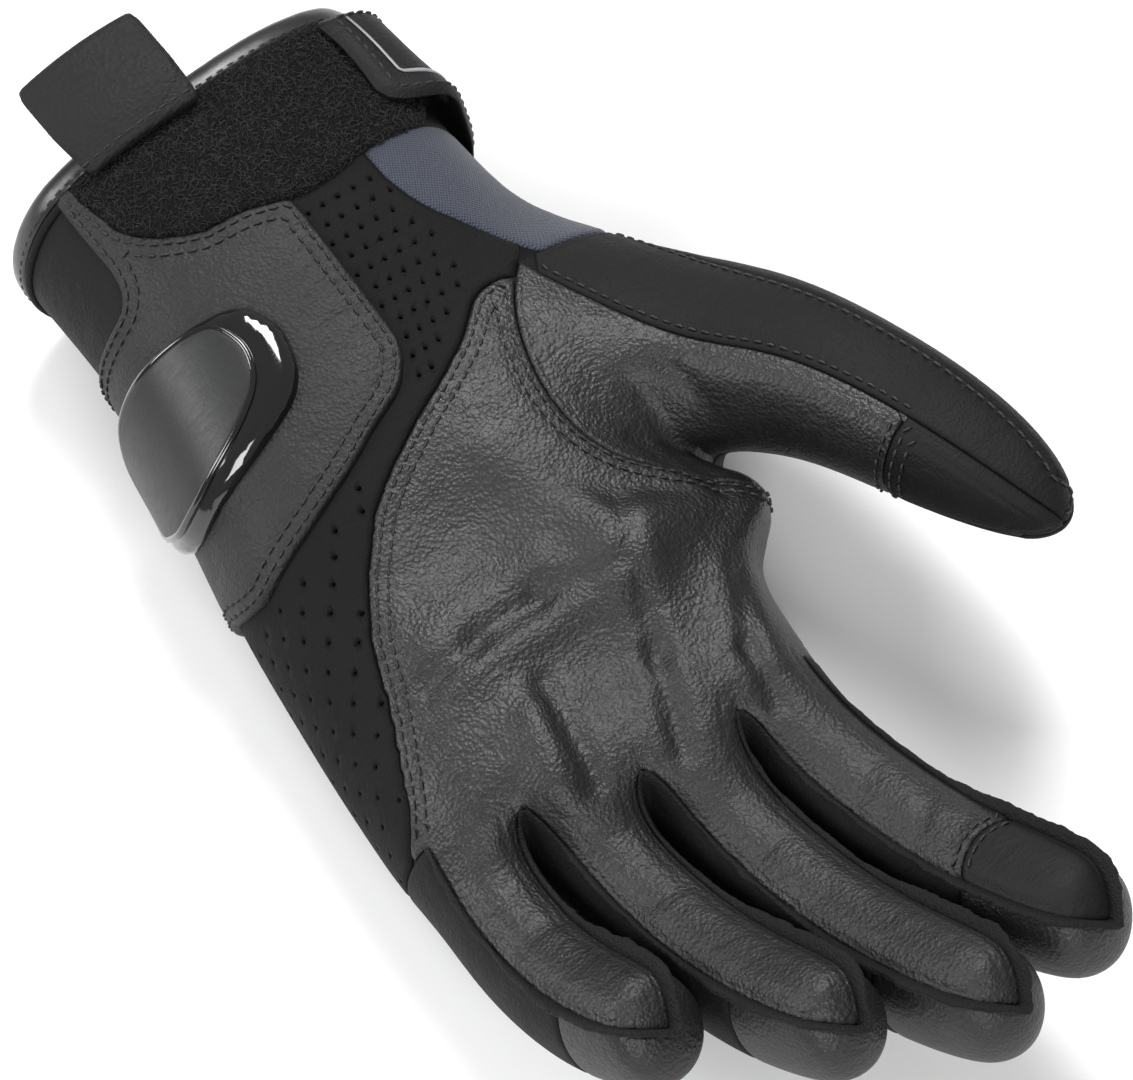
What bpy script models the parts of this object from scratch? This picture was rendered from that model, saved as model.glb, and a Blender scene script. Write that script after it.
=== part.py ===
"""A left motorcycle glove with a short cuff, lying on its back with the palm up.

The hand is one smooth shell worked out from a coarse cage, and each leather or fabric
piece is a closed wall cut from that shell along its seams. The patch, the hook-and-loop
closure, the palm slider, the rim binding and the pull tab sit on the shell.

Metres, +Z up, fingers along +Y, thumb towards -X. The back of the hand rests on Z = 0.
"""
import math
from collections import namedtuple

import bmesh
import bpy
import numpy as np
from mathutils import Vector
from mathutils.bvhtree import BVHTree

# Driving dimensions
PALM_WIDTH = 0.104
HAND_LENGTH = 0.182
HAND_DEPTH = 0.058
FINGER_LENGTH = 0.097
FINGER_GAP = 0.0012
FINGER_DEPTH = 0.0285
THUMB_LENGTH = 0.100
THUMB_WIDTH = 0.032
LEATHER_THICKNESS = 0.0016
LIP_HEIGHT = 0.0012
SEAM_GAP = 0.0003
PATCH_THICKNESS = 0.0014
LOOP_THICKNESS = 0.0015
HOOK_THICKNESS = 0.0010
STRAP_THICKNESS = 0.0020
STRAP_WIDTH = 0.032
SLIDER_HEIGHT = 0.0036
SLIDER_BEVEL = 0.0022
INLAY_THICKNESS = 0.0010
BINDING_WIDTH = 0.0052
BINDING_THICKNESS = 0.0036
TAB_WIDTH = 0.025
TAB_REACH = 0.0165
TAB_THICKNESS = 0.0013
HOLE_DIAMETER = 0.0014
HOLE_PITCH = 0.0072
HOLE_SIDES = 5

# Sections of the hand from the rim to the finger roots. Along is a share of HAND_LENGTH,
# centre and width of PALM_WIDTH, bottom and top of HAND_DEPTH.
Section = namedtuple("Section", "along centre width bottom top")
SECTIONS = [
    Section(0.030, 0.050, 0.92, 0.00, 1.00),
    Section(0.110, 0.048, 0.92, 0.00, 1.01),
    Section(0.200, 0.048, 0.92, 0.00, 0.99),
    Section(0.290, 0.050, 0.95, -0.01, 0.96),
    Section(0.385, 0.062, 0.98, -0.02, 0.93),
    Section(0.470, 0.085, 1.00, -0.03, 0.90),
    Section(0.560, 0.108, 1.02, -0.03, 0.87),
    Section(0.660, 0.135, 1.01, -0.03, 0.84),
    Section(0.755, 0.160, 1.00, -0.03, 0.81),
    Section(0.835, 0.183, 0.98, -0.02, 0.80),
    Section(0.915, 0.198, 0.96, -0.01, 0.79),
    Section(0.985, 0.207, 0.95, 0.00, 0.78),
]
CUFF_LAST = 2
THUMB_FIRST = 4
THUMB_LAST = 8
WRAP_CENTRE = (0.05, 0.45)
FLAT_ANGLE = 1.5
BARE_FLAT_ANGLE = 2.6

# Places of the nine lengthwise lines across the palm, as shares of its half width.
ACROSS = [-0.86, -0.67, -0.46, -0.225, 0.01, 0.245, 0.48, 0.67, 0.86]
# Where each line meets the finger roots, as shares of HAND_LENGTH.
ROOT_ALONG = [0.980, 1.000, 1.000, 1.011, 1.000, 0.989, 0.951, 0.945, 0.912]
RIM_SKEW = 0.10

# Shares of PALM_WIDTH, HAND_LENGTH and HAND_DEPTH.
Corner = namedtuple("Corner", "side along height")
GUSSET_SEAM = [
    Corner(-0.212, 0.385, 0.880),
    Corner(-0.125, 0.484, 0.897),
    Corner(-0.087, 0.593, 0.880),
    Corner(-0.154, 0.714, 0.810),
    Corner(-0.481, 0.790, 0.620),
]
THUMB_BACK_SEAM = [
    Corner(-0.442, 0.396, 0.103),
    Corner(-0.442, 0.484, 0.069),
    Corner(-0.423, 0.571, 0.069),
    Corner(-0.394, 0.670, 0.086),
    Corner(-0.365, 0.775, 0.103),
]
THUMB_HEEL = Corner(-0.630, 0.395, 0.580)
CROTCH = Corner(-0.430, 0.795, 0.345)
THUMB_ROOT = Corner(-0.442, 0.571, 0.517)

# The thumb's middle line from its root: side, forward and rise are shares of THUMB_LENGTH,
# width and depth of THUMB_WIDTH.
ThumbRing = namedtuple("ThumbRing", "side forward rise width depth")
THUMB_RINGS = [
    ThumbRing(-0.070, 0.030, 0.035, 1.49, 1.25),
    ThumbRing(-0.165, 0.185, 0.090, 1.27, 1.20),
    ThumbRing(-0.225, 0.350, 0.125, 1.12, 1.08),
    ThumbRing(-0.270, 0.520, 0.150, 1.05, 0.97),
    ThumbRing(-0.305, 0.690, 0.168, 0.88, 0.78),
    ThumbRing(-0.325, 0.840, 0.180, 0.51, 0.48),
]
THUMB_TIP_REACH = 0.065
THUMB_ANGLES = [38, 55, 72, 89, 106, 124, 146, 170, 194, 220, 252, 322]
THUMB_PATCH_FROM = 3

# Finger length is a share of FINGER_LENGTH, width of the pitch of the fingers. Yaw turns
# towards the little finger and curl lifts from the floor, in degrees at root and tip.
Finger = namedtuple("Finger", "name length width depth yaw_root yaw_tip curl_root curl_tip")
FINGERS = [
    Finger("index", 0.98, 1.10, 1.03, -1, -19, 4, 34),
    Finger("middle", 1.02, 1.03, 1.02, 2, -17, 4, 38),
    Finger("ring", 0.90, 1.00, 0.96, 4, -18, 5, 40),
    Finger("little", 0.73, 1.03, 0.95, 12, -22, 0, 44),
]
# Rings along a finger: along is a share of its length, width and depth of its size.
FingerRing = namedtuple("FingerRing", "along width depth")
FINGER_RINGS = [
    FingerRing(0.13, 0.98, 1.00),
    FingerRing(0.32, 1.00, 1.00),
    FingerRing(0.51, 1.00, 1.00),
    FingerRing(0.69, 1.00, 0.98),
    FingerRing(0.85, 0.98, 0.91),
    FingerRing(0.955, 0.86, 0.78),
]
# The eight corners of a finger's ring: across and up, as shares of its half width and depth.
FINGER_PROFILE = [
    (-0.74, 0.78), (0.0, 1.0), (0.74, 0.78), (1.0, 0.0),
    (0.74, -0.78), (0.0, -1.0), (-0.74, -0.78), (-1.0, 0.0),
]
CAP_FROM = 4
PAD_FROM = 4
PAD_ARC = 0.045

# Soft dents and folds of the shell: start and end are shares of PALM_WIDTH and HAND_LENGTH,
# spread of PALM_WIDTH, height of HAND_DEPTH, and a dent has a negative height.
Fold = namedtuple("Fold", "start_side start_along end_side end_along spread height")
FOLDS = [
    Fold(0.20, 0.68, 0.12, 0.88, 0.17, -0.055),
    Fold(0.36, 0.79, -0.04, 0.80, 0.060, 0.030),
    Fold(0.30, 0.88, 0.36, 0.96, 0.055, 0.035),
    Fold(-0.06, 0.76, 0.06, 0.93, 0.060, 0.030),
    Fold(-0.20, 0.86, -0.13, 0.96, 0.055, 0.028),
    Fold(-0.34, 0.64, -0.36, 0.76, 0.060, -0.035),
]

# Seams and outlines on the wrapped hand: turn in degrees round the hand from the top of the
# palm towards the little finger, along as a share of HAND_LENGTH.
Wrap = namedtuple("Wrap", "turn along")
PALM_SEAM = [
    Wrap(-60, 0.450), Wrap(-48, 0.420), Wrap(-37, 0.428), Wrap(-22, 0.468), Wrap(-4, 0.495),
    Wrap(18, 0.522), Wrap(36, 0.550), Wrap(50, 0.585), Wrap(60, 0.640), Wrap(67, 0.705),
    Wrap(73, 0.800), Wrap(79, 0.880), Wrap(90, 0.930), Wrap(101, 0.955),
]
STRETCH_SEAM = [Wrap(-34, 0.150), Wrap(-36, 0.245), Wrap(-42, 0.300), Wrap(-56, 0.362), Wrap(-70, 0.450)]
LOOP_OUTLINE = [
    Wrap(46, -0.050), Wrap(49, 0.105), Wrap(43, 0.155), Wrap(31, 0.187), Wrap(16, 0.195), Wrap(-1, 0.212),
    Wrap(-18, 0.214), Wrap(-35, 0.203), Wrap(-58, 0.190), Wrap(-66, 0.120), Wrap(-62, -0.050),
]
PATCH_OUTLINE = [
    Wrap(-1, 0.212), Wrap(-1, 0.320), Wrap(1, 0.434), Wrap(13, 0.478), Wrap(33, 0.505), Wrap(53, 0.540),
    Wrap(76, 0.578), Wrap(92, 0.545), Wrap(113, 0.510), Wrap(115, 0.350), Wrap(112, 0.200), Wrap(85, 0.190),
    Wrap(62, 0.192), Wrap(57, 0.150), Wrap(56, -0.050), Wrap(40, -0.050), Wrap(38, 0.120), Wrap(10, 0.160),
]
SLIDER_OUTLINE = [
    Wrap(66, 0.262), Wrap(53, 0.272), Wrap(43, 0.285), Wrap(35, 0.302), Wrap(33, 0.345), Wrap(37, 0.392),
    Wrap(45, 0.428), Wrap(57, 0.452), Wrap(69, 0.470), Wrap(82, 0.468), Wrap(94, 0.440), Wrap(101, 0.385),
    Wrap(99, 0.320), Wrap(85, 0.270),
]
INLAY_OUTLINE = [
    Wrap(68, 0.287), Wrap(55, 0.296), Wrap(48, 0.310), Wrap(46, 0.350), Wrap(50, 0.385), Wrap(60, 0.410),
    Wrap(72, 0.435), Wrap(82, 0.432), Wrap(90, 0.405), Wrap(95, 0.365), Wrap(92, 0.315), Wrap(82, 0.292),
]

# The closure strap in the same wrap, from its end on the palm to its seam on the back.
STRAP_TURNS = (-50.0, -116.0)
STRAP_ALONG = 0.108
TAB_TURN = 22.0
TAB_ROOT = 0.050

# Colours and finishes: red, green, blue, roughness.
Finish = namedtuple("Finish", "red green blue roughness")
FINISHES = {
    "palm_leather": Finish(0.020, 0.019, 0.019, 0.38),
    "matte_leather": Finish(0.014, 0.014, 0.014, 0.62),
    "stretch_fabric": Finish(0.030, 0.040, 0.075, 0.80),
    "loop_fabric": Finish(0.012, 0.012, 0.013, 0.95),
    "binding_vinyl": Finish(0.045, 0.046, 0.050, 0.35),
    "hook_tape": Finish(0.010, 0.010, 0.010, 0.85),
    "slider_plastic": Finish(0.012, 0.012, 0.013, 0.12),
    "inlay_rubber": Finish(0.016, 0.017, 0.018, 0.55),
}

# Region tags of the shell's faces
PALM_SIDE, ULNAR_UPPER, ULNAR_LOWER, BACK_SIDE, RADIAL_LOWER, RADIAL_UPPER = range(6)
FINGER_PALM, FINGER_BACK, PAD = 6, 7, 9
THUMB_INNER, THUMB_PATCH, THUMB_OUTER, THUMB_BACK = 10, 11, 12, 13
CUFF, STRETCH_UPPER, STRETCH_LOWER, PERFORATED = 14, 15, 16, 17
SIDE_ULNAR, SIDE_RADIAL, CAP = 20, 30, 40
TAG_COUNT = 50


def swell(sides):
    """How far a ring's corners stand out so that its smoothed form has the asked size."""
    return 3.0 / (2.0 + math.cos(2.0 * math.pi / sides))


def oval(share, power):
    """Height of a rounded-off oval of half height 1 at a share of its half width."""
    return max(0.0, 1.0 - abs(share) ** power) ** (1.0 / power)


def place(corner):
    return np.array([corner.side * PALM_WIDTH, corner.along * HAND_LENGTH, corner.height * HAND_DEPTH])


class Cage:
    """The coarse cage: its points, faces and each face's region tag."""

    def __init__(self):
        self.points = []
        self.faces = []
        self.tags = []

    def add(self, point):
        self.points.append(np.array(point, dtype=float))
        return len(self.points) - 1

    def face(self, corners, tag):
        self.faces.append(tuple(corners))
        self.tags.append(tag)

    def bridge(self, ring, following, tags):
        count = len(ring)
        for i in range(count):
            k = (i + 1) % count
            self.face((ring[i], ring[k], following[k], following[i]), tags[i])


def hand_rings(cage):
    """Palm line, back line, little finger edge and thumb edge of every section."""
    palm, back, outer, inner = [], [], [], []
    last = len(SECTIONS) - 1
    skewed = [s.along for s in SECTIONS[:3]]
    for j, s in enumerate(SECTIONS):
        y = s.along * HAND_LENGTH
        middle = s.centre * PALM_WIDTH
        half = s.width * PALM_WIDTH / 2 * swell(20)
        bottom, top = s.bottom * HAND_DEPTH, s.top * HAND_DEPTH
        level = (bottom + top) / 2
        rise = (top - bottom) / 2 * swell(20)
        power = 2.3 + 0.5 * s.along
        skew = RIM_SKEW * (1 - j / len(skewed)) if j < len(skewed) else 0.0
        upper, lower = [], []
        for i, share in enumerate(ACROSS):
            x = middle + share * half
            along = y
            if j == last:
                along = ROOT_ALONG[i] * HAND_LENGTH
            elif j == last - 1:
                along = y + (ROOT_ALONG[i] - 1) * HAND_LENGTH / 2
            along += min(0.0, x - middle) * skew
            height = rise * oval(share, power)
            upper.append(np.array([x, along, level + height]))
            lower.append(np.array([x, along, level - height]))
        if THUMB_FIRST <= j <= THUMB_LAST:
            upper = bend_to(upper, place(GUSSET_SEAM[j - THUMB_FIRST]), middle, half, level, rise, power)
            lower = bend_to(lower, place(THUMB_BACK_SEAM[j - THUMB_FIRST]), middle, half, level, -rise, power)
        palm.append([cage.add(p) for p in upper])
        back.append([cage.add(p) for p in lower])
        outer.append(cage.add((middle + half, upper[-1][1], level)))
        inner.append(thumb_edge(cage, j, (middle - half, upper[0][1], level)))
    return palm, back, outer, inner


def bend_to(line, corner, middle, half, level, rise, power):
    """Draw a section's line in towards a seam corner, leaving its far end in place."""
    far = line[-1][0]
    own = level + rise * oval((corner[0] - middle) / half, power)
    bent = []
    for i, point in enumerate(line):
        t = i / (len(line) - 1)
        x = corner[0] + (far - corner[0]) * t
        y = corner[1] + (point[1] - corner[1]) * min(1.0, 2 * t)
        z = level + rise * oval((x - middle) / half, power) + (corner[2] - own) * (1 - t) ** 2
        bent.append(np.array([x, y, z]))
    return bent


def thumb_edge(cage, j, point):
    if j == THUMB_FIRST:
        return cage.add(place(THUMB_HEEL))
    if j == THUMB_LAST:
        return cage.add(place(CROTCH))
    if THUMB_FIRST < j < THUMB_LAST:
        return None
    return cage.add(point)


def hand_faces(cage, palm, back, outer, inner):
    for j in range(len(SECTIONS) - 1):
        cuff = j < CUFF_LAST
        wrist = CUFF_LAST <= j < THUMB_FIRST
        above, below = palm[j + 1], back[j + 1]
        for i in range(len(ACROSS) - 1):
            upper = (palm[j][i], palm[j][i + 1], above[i + 1], above[i])
            lower = (back[j][i + 1], back[j][i], below[i], below[i + 1])
            cage.face(upper, CUFF if cuff else PALM_SIDE)
            cage.face(lower, CUFF if cuff else BACK_SIDE)
        cage.face((palm[j][-1], outer[j], outer[j + 1], palm[j + 1][-1]), CUFF if cuff else ULNAR_UPPER)
        cage.face((outer[j], back[j][-1], back[j + 1][-1], outer[j + 1]), CUFF if cuff else ULNAR_LOWER)
        if not THUMB_FIRST <= j < THUMB_LAST:
            low = CUFF if cuff else STRETCH_LOWER if wrist else RADIAL_LOWER
            high = CUFF if cuff else STRETCH_UPPER if wrist else RADIAL_UPPER
            cage.face((back[j][0], inner[j], inner[j + 1], back[j + 1][0]), low)
            cage.face((inner[j], palm[j][0], palm[j + 1][0], inner[j + 1]), high)


def finger_spine(finger, base):
    """Points and directions along a finger, bent in yaw and curl."""
    steps = 60
    points = [base]
    ways = []
    for q in range(steps + 1):
        t = q / steps
        ease = t * t * (3 - 2 * t)
        yaw = math.radians(finger.yaw_root + (finger.yaw_tip - finger.yaw_root) * t)
        curl = math.radians(finger.curl_root + (finger.curl_tip - finger.curl_root) * ease)
        way = np.array([math.sin(yaw) * math.cos(curl), math.cos(yaw) * math.cos(curl), math.sin(curl)])
        ways.append(way)
        points.append(points[-1] + way * finger.length * FINGER_LENGTH / steps)
    return points, ways


def frame_across(way):
    """Unit vectors to the right of a direction and up from it."""
    side = np.cross(way, [0.0, 0.0, 1.0])
    side /= np.linalg.norm(side)
    return side, np.cross(side, way)


def add_finger(cage, number, root):
    finger = FINGERS[number]
    base = np.mean([cage.points[i] for i in root], axis=0)
    points, ways = finger_spine(finger, base)
    pitch = (ACROSS[6] - ACROSS[2]) / 4 * PALM_WIDTH * SECTIONS[-1].width
    half_width = (pitch * finger.width - FINGER_GAP) / 2 * swell(8)
    half_depth = FINGER_DEPTH * finger.depth / 2 * swell(8)
    ring = root
    for r, row in enumerate(FINGER_RINGS):
        q = int(round(row.along * (len(points) - 2)))
        side, up = frame_across(ways[q])
        following = []
        for k, (a, b) in enumerate(FINGER_PROFILE):
            point = points[q] + side * half_width * row.width * a + up * half_depth * row.depth * b
            if number == 0 and r == PAD_FROM - 1 and k == 1:
                point = point - ways[q] * PAD_ARC * FINGER_LENGTH
            following.append(cage.add(point))
        capped = r >= CAP_FROM
        top = PAD if number == 0 and r >= PAD_FROM else FINGER_PALM
        ulnar = CAP + number if capped else SIDE_ULNAR + number
        radial = CAP + number if capped else SIDE_RADIAL + number
        under = CAP + number if capped else FINGER_BACK
        cage.bridge(ring, following, [top, top, ulnar, ulnar, under, under, radial, radial])
        ring = following
    tip = cage.add(points[-2])
    for k in (1, 3, 5, 7):
        tag = CAP + number if k > 1 else PAD if number == 0 else FINGER_PALM
        cage.face((ring[k - 1], ring[k], ring[(k + 1) % 8], tip), tag)


def add_thumb(cage, palm, back, inner):
    span = range(THUMB_FIRST, THUMB_LAST + 1)
    ring = [palm[j][0] for j in span] + [inner[THUMB_LAST]] + [back[j][0] for j in reversed(span)]
    ring.append(inner[THUMB_FIRST])
    root = place(THUMB_ROOT)
    centres = [root + np.array([r.side, r.forward, r.rise]) * THUMB_LENGTH for r in THUMB_RINGS]
    for k, row in enumerate(THUMB_RINGS):
        way = centres[min(k + 1, len(centres) - 1)] - centres[max(k - 1, 0)]
        side, up = frame_across(way / np.linalg.norm(way))
        following = []
        for degrees in THUMB_ANGLES:
            turn = math.radians(degrees)
            across = side * row.width * math.sin(turn) + up * row.depth * math.cos(turn)
            following.append(cage.add(centres[k] + across * THUMB_WIDTH / 2 * swell(12)))
        inner_tag = THUMB_PATCH if k > THUMB_PATCH_FROM else THUMB_INNER
        cage.bridge(ring, following, [inner_tag] * 5 + [THUMB_BACK] * 6 + [THUMB_OUTER])
        ring = following
    way = centres[-1] - centres[-2]
    tip = cage.add(centres[-1] + way / np.linalg.norm(way) * THUMB_TIP_REACH * THUMB_LENGTH)
    for k in range(1, 12, 2):
        tag = THUMB_PATCH if k < 5 else THUMB_BACK if k < 11 else THUMB_OUTER
        cage.face((ring[k - 1], ring[k], ring[(k + 1) % 12], tip), tag)


def build_cage():
    cage = Cage()
    palm, back, outer, inner = hand_rings(cage)
    hand_faces(cage, palm, back, outer, inner)
    webs = {0: inner[-1], 8: outer[-1]}
    for k in (2, 4, 6):
        webs[k] = cage.add((cage.points[palm[-1][k]] + cage.points[back[-1][k]]) / 2)
    for number in range(len(FINGERS)):
        k = 2 * number
        above = [palm[-1][k], palm[-1][k + 1], palm[-1][k + 2]]
        below = [back[-1][k + 2], back[-1][k + 1], back[-1][k]]
        add_finger(cage, number, above + [webs[k + 2]] + below + [webs[k]])
    add_thumb(cage, palm, back, inner)
    return cage


Shell = namedtuple("Shell", "points faces tags normals")


def smooth_shell(levels):
    """The smoothed shell, dented by the folds and flattened where it rests on the floor."""
    cage = build_cage()
    mesh = bpy.data.meshes.new("cage")
    mesh.from_pydata([tuple(p) for p in cage.points], [], cage.faces)
    for _ in range(TAG_COUNT):
        mesh.materials.append(None)
    mesh.polygons.foreach_set("material_index", cage.tags)
    guide = bpy.data.objects.new("cage", mesh)
    bpy.context.scene.collection.objects.link(guide)
    smoothing = guide.modifiers.new("smooth", "SUBSURF")
    smoothing.levels = levels
    smoothing.render_levels = levels
    result = guide.evaluated_get(bpy.context.evaluated_depsgraph_get()).to_mesh()
    points = np.array([v.co[:] for v in result.vertices])
    faces = [tuple(p.vertices) for p in result.polygons]
    tags = np.array([p.material_index for p in result.polygons])
    bpy.data.objects.remove(guide, do_unlink=True)
    points = fold(points, vertex_normals(points, faces))
    points[:, 2] = np.maximum(points[:, 2], 0.0)
    normals = vertex_normals(points, faces)
    halved = [corners for a, b, c, d in faces for corners in ((a, b, c), (a, c, d))]
    return Shell(points, halved, np.repeat(tags, 2), normals)


def vertex_normals(points, faces):
    quads = np.array(faces)
    across = points[quads[:, 2]] - points[quads[:, 0]]
    along = points[quads[:, 3]] - points[quads[:, 1]]
    areas = np.cross(across, along)
    normals = np.zeros_like(points)
    for k in range(4):
        np.add.at(normals, quads[:, k], areas)
    return normals / np.linalg.norm(normals, axis=1)[:, None]


def fold(points, normals):
    """Move palm-side points out or in along each soft fold."""
    shift = np.zeros(len(points))
    flat = points[:, :2]
    facing = np.clip(normals[:, 2], 0.0, 1.0)
    for row in FOLDS:
        start = np.array([row.start_side * PALM_WIDTH, row.start_along * HAND_LENGTH])
        end = np.array([row.end_side * PALM_WIDTH, row.end_along * HAND_LENGTH])
        way = end - start
        t = np.clip((flat - start) @ way / (way @ way), 0.0, 1.0)
        distance = np.linalg.norm(flat - start - t[:, None] * way, axis=1)
        spread = row.spread * PALM_WIDTH
        shift += row.height * HAND_DEPTH * np.exp(-(distance / spread) ** 2)
    return points + normals * (shift * facing)[:, None]


def wrap_axis():
    return WRAP_CENTRE[0] * PALM_WIDTH, WRAP_CENTRE[1] * HAND_DEPTH


def wrap_turn(point):
    x, z = wrap_axis()
    return math.degrees(math.atan2(point[0] - x, point[2] - z))


class Surface:
    """The shell as seen from its wrap axis, read by turn and distance along."""

    def __init__(self, shell):
        self.tree = BVHTree.FromPolygons([Vector(p) for p in shell.points], shell.faces)
        self.rim = SECTIONS[0].along * HAND_LENGTH

    def ray(self, turn):
        angle = math.radians(turn)
        return Vector((math.sin(angle), 0.0, math.cos(angle)))

    def at(self, turn, y, height=0.0):
        """A point on the shell, raised along the ray; before the rim it repeats the rim's form."""
        x, z = wrap_axis()
        way = self.ray(turn)
        edge = self.rim + RIM_SKEW * min(0.0, way.x) * PALM_WIDTH / 2 + 0.0015
        start = Vector((x, max(y, edge), z))
        hit = self.tree.ray_cast(start, way)[0]
        if hit is None:
            hit = start + way * HAND_DEPTH / 2
        return Vector((hit.x, y, hit.z)) + way * height


def new_object(name, vertices, faces, finish):
    mesh = bpy.data.meshes.new(name)
    mesh.from_pydata([tuple(v) for v in vertices], [], [tuple(f) for f in faces])
    mesh.materials.append(material(finish))
    mesh.validate()
    mesh.update()
    thing = bpy.data.objects.new(name, mesh)
    bpy.context.scene.collection.objects.link(thing)
    return thing


def material(finish):
    found = bpy.data.materials.get(finish)
    if found:
        return found
    row = FINISHES[finish]
    made = bpy.data.materials.new(finish)
    made.use_nodes = True
    shader = made.node_tree.nodes["Principled BSDF"]
    shader.inputs["Base Color"].default_value = (row.red, row.green, row.blue, 1.0)
    shader.inputs["Roughness"].default_value = row.roughness
    shader.inputs["Metallic"].default_value = 0.0
    return made


def wall(
    name, shell, chosen, finish, low=-LEATHER_THICKNESS, high=0.0, lip_tags=(), lean=0.0, flat=FLAT_ANGLE
):
    """A closed wall over the chosen faces, drawn back half a seam gap at its edges.

    Flat is the angle under which neighbouring faces are merged. It is larger where no layer
    lies on the wall.
    """
    points, normals = shell.points, shell.normals
    directed = {}
    lipped = set()
    for f in chosen:
        ring = shell.faces[f]
        for a, b in zip(ring, ring[1:] + ring[:1]):
            directed[(a, b)] = f
    border = [(a, b) for (a, b) in directed if (b, a) not in directed]
    if lip_tags:
        owners = {}
        for f, ring in enumerate(shell.faces):
            for a, b in zip(ring, ring[1:] + ring[:1]):
                owners[(a, b)] = f
        for a, b in border:
            across = owners.get((b, a))
            if across is not None and shell.tags[across] in lip_tags:
                lipped.update((a, b))
    inward = {}
    for a, b in border:
        edge = points[b] - points[a]
        for v in (a, b):
            push = np.cross(normals[v], edge)
            inward[v] = inward.get(v, 0) + push / max(np.linalg.norm(push), 1e-9)
    used = sorted({v for f in chosen for v in shell.faces[f]})
    place_of = {v: k for k, v in enumerate(used)}
    outer, under = [], []
    for v in used:
        base = points[v].copy()
        slope = np.zeros(3)
        if v in inward:
            length = np.linalg.norm(inward[v])
            if length > 1e-6:
                push = inward[v] / length * min(2.0, 2.0 / max(length, 1.0))
                base += push * SEAM_GAP / 2
                slope = push * lean
        top = high + (LIP_HEIGHT if v in lipped else 0.0)
        outer.append(base + normals[v] * top + slope)
        under.append(base + normals[v] * low)
    count = len(used)
    faces = []
    for f in chosen:
        ring = [place_of[v] for v in shell.faces[f]]
        faces.append(ring)
        faces.append([count + k for k in reversed(ring)])
    for a, b in border:
        i, k = place_of[a], place_of[b]
        faces.append([k, i, count + i, count + k])
    thing = new_object(name, outer + under, faces, finish)
    if lean == 0.0:
        join_flat_faces(thing, flat)
    return thing


def join_flat_faces(thing, degrees):
    """Merge neighbouring faces that lie in one plane, such as those on the floor."""
    work = bmesh.new()
    work.from_mesh(thing.data)
    limit = math.radians(degrees)
    bmesh.ops.dissolve_limit(work, angle_limit=limit, verts=work.verts, edges=work.edges)
    bmesh.ops.triangulate(work, faces=work.faces)
    work.to_mesh(thing.data)
    work.free()


def smooth_path(rows, closed, spacing=0.006):
    """Wrap rows as an even, rounded path of (turn, y)."""
    knots = [np.array([r.turn, r.along * HAND_LENGTH]) for r in rows]
    count = len(knots)
    radius = HAND_DEPTH * 0.7
    path = []
    spans = count if closed else count - 1
    for k in range(spans):
        p0 = knots[(k - 1) % count] if closed or k else 2 * knots[0] - knots[1]
        p1, p2 = knots[k], knots[(k + 1) % count]
        p3 = knots[(k + 2) % count] if closed or k + 2 < count else 2 * p2 - p1
        length = math.hypot(math.radians(p2[0] - p1[0]) * radius, p2[1] - p1[1])
        steps = max(1, round(length / spacing))
        for q in range(steps):
            t = q / steps
            bend = (-0.3 * t + 0.6 * t * t - 0.3 * t ** 3) * p0 + (0.3 * t * t * (t - 1)) * p3
            near = 1 - 2.7 * t * t + 1.7 * t ** 3
            far = 0.3 * t + 2.4 * t * t - 1.7 * t ** 3
            path.append(bend + near * p1 + far * p2)
    if not closed:
        path.append(knots[-1])
    return path


def outward(thing):
    work = bmesh.new()
    work.from_mesh(thing.data)
    bmesh.ops.recalc_face_normals(work, faces=work.faces)
    if work.calc_volume(signed=True) < 0:
        bmesh.ops.reverse_faces(work, faces=work.faces)
    work.to_mesh(thing.data)
    work.free()


def cut(thing, cutter):
    """Subtract the cutter from a piece and drop the cutter."""
    change = thing.modifiers.new("cut", "BOOLEAN")
    change.operation = "DIFFERENCE"
    change.object = cutter
    result = thing.evaluated_get(bpy.context.evaluated_depsgraph_get())
    cleaned = bpy.data.meshes.new_from_object(result)
    thing.modifiers.clear()
    thing.data = cleaned
    bpy.data.objects.remove(cutter, do_unlink=True)


def faces_with(shell, *tags):
    return [f for f, tag in enumerate(shell.tags) if tag in tags]


def seam_side(points, rows, closed):
    """Signed distance of each point from a seam: positive on its left, or inside a closed one."""
    path = np.array(smooth_path(rows, closed))
    radius = HAND_DEPTH * 0.7
    path[:, 0] = np.radians(path[:, 0]) * radius
    spots = np.array([(math.radians(wrap_turn(p)) * radius, p[1]) for p in points])
    following = np.roll(path, -1, axis=0)
    flip = 1.0
    if closed:
        area = np.sum(path[:, 0] * following[:, 1] - path[:, 1] * following[:, 0])
        flip = np.sign(area)
    else:
        path, following = path[:-1], following[:-1]
    nearest = np.full(len(points), np.inf)
    side = np.ones(len(points))
    for start, end in zip(path, following):
        way = end - start
        apart = spots - start
        t = np.clip(apart @ way / (way @ way), 0.0, 1.0)
        distance = np.linalg.norm(apart - t[:, None] * way, axis=1)
        closer = distance < nearest
        nearest[closer] = distance[closer]
        turn = way[0] * apart[:, 1] - way[1] * apart[:, 0]
        side[closer] = np.sign(turn[closer])
    return nearest * side * flip


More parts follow.
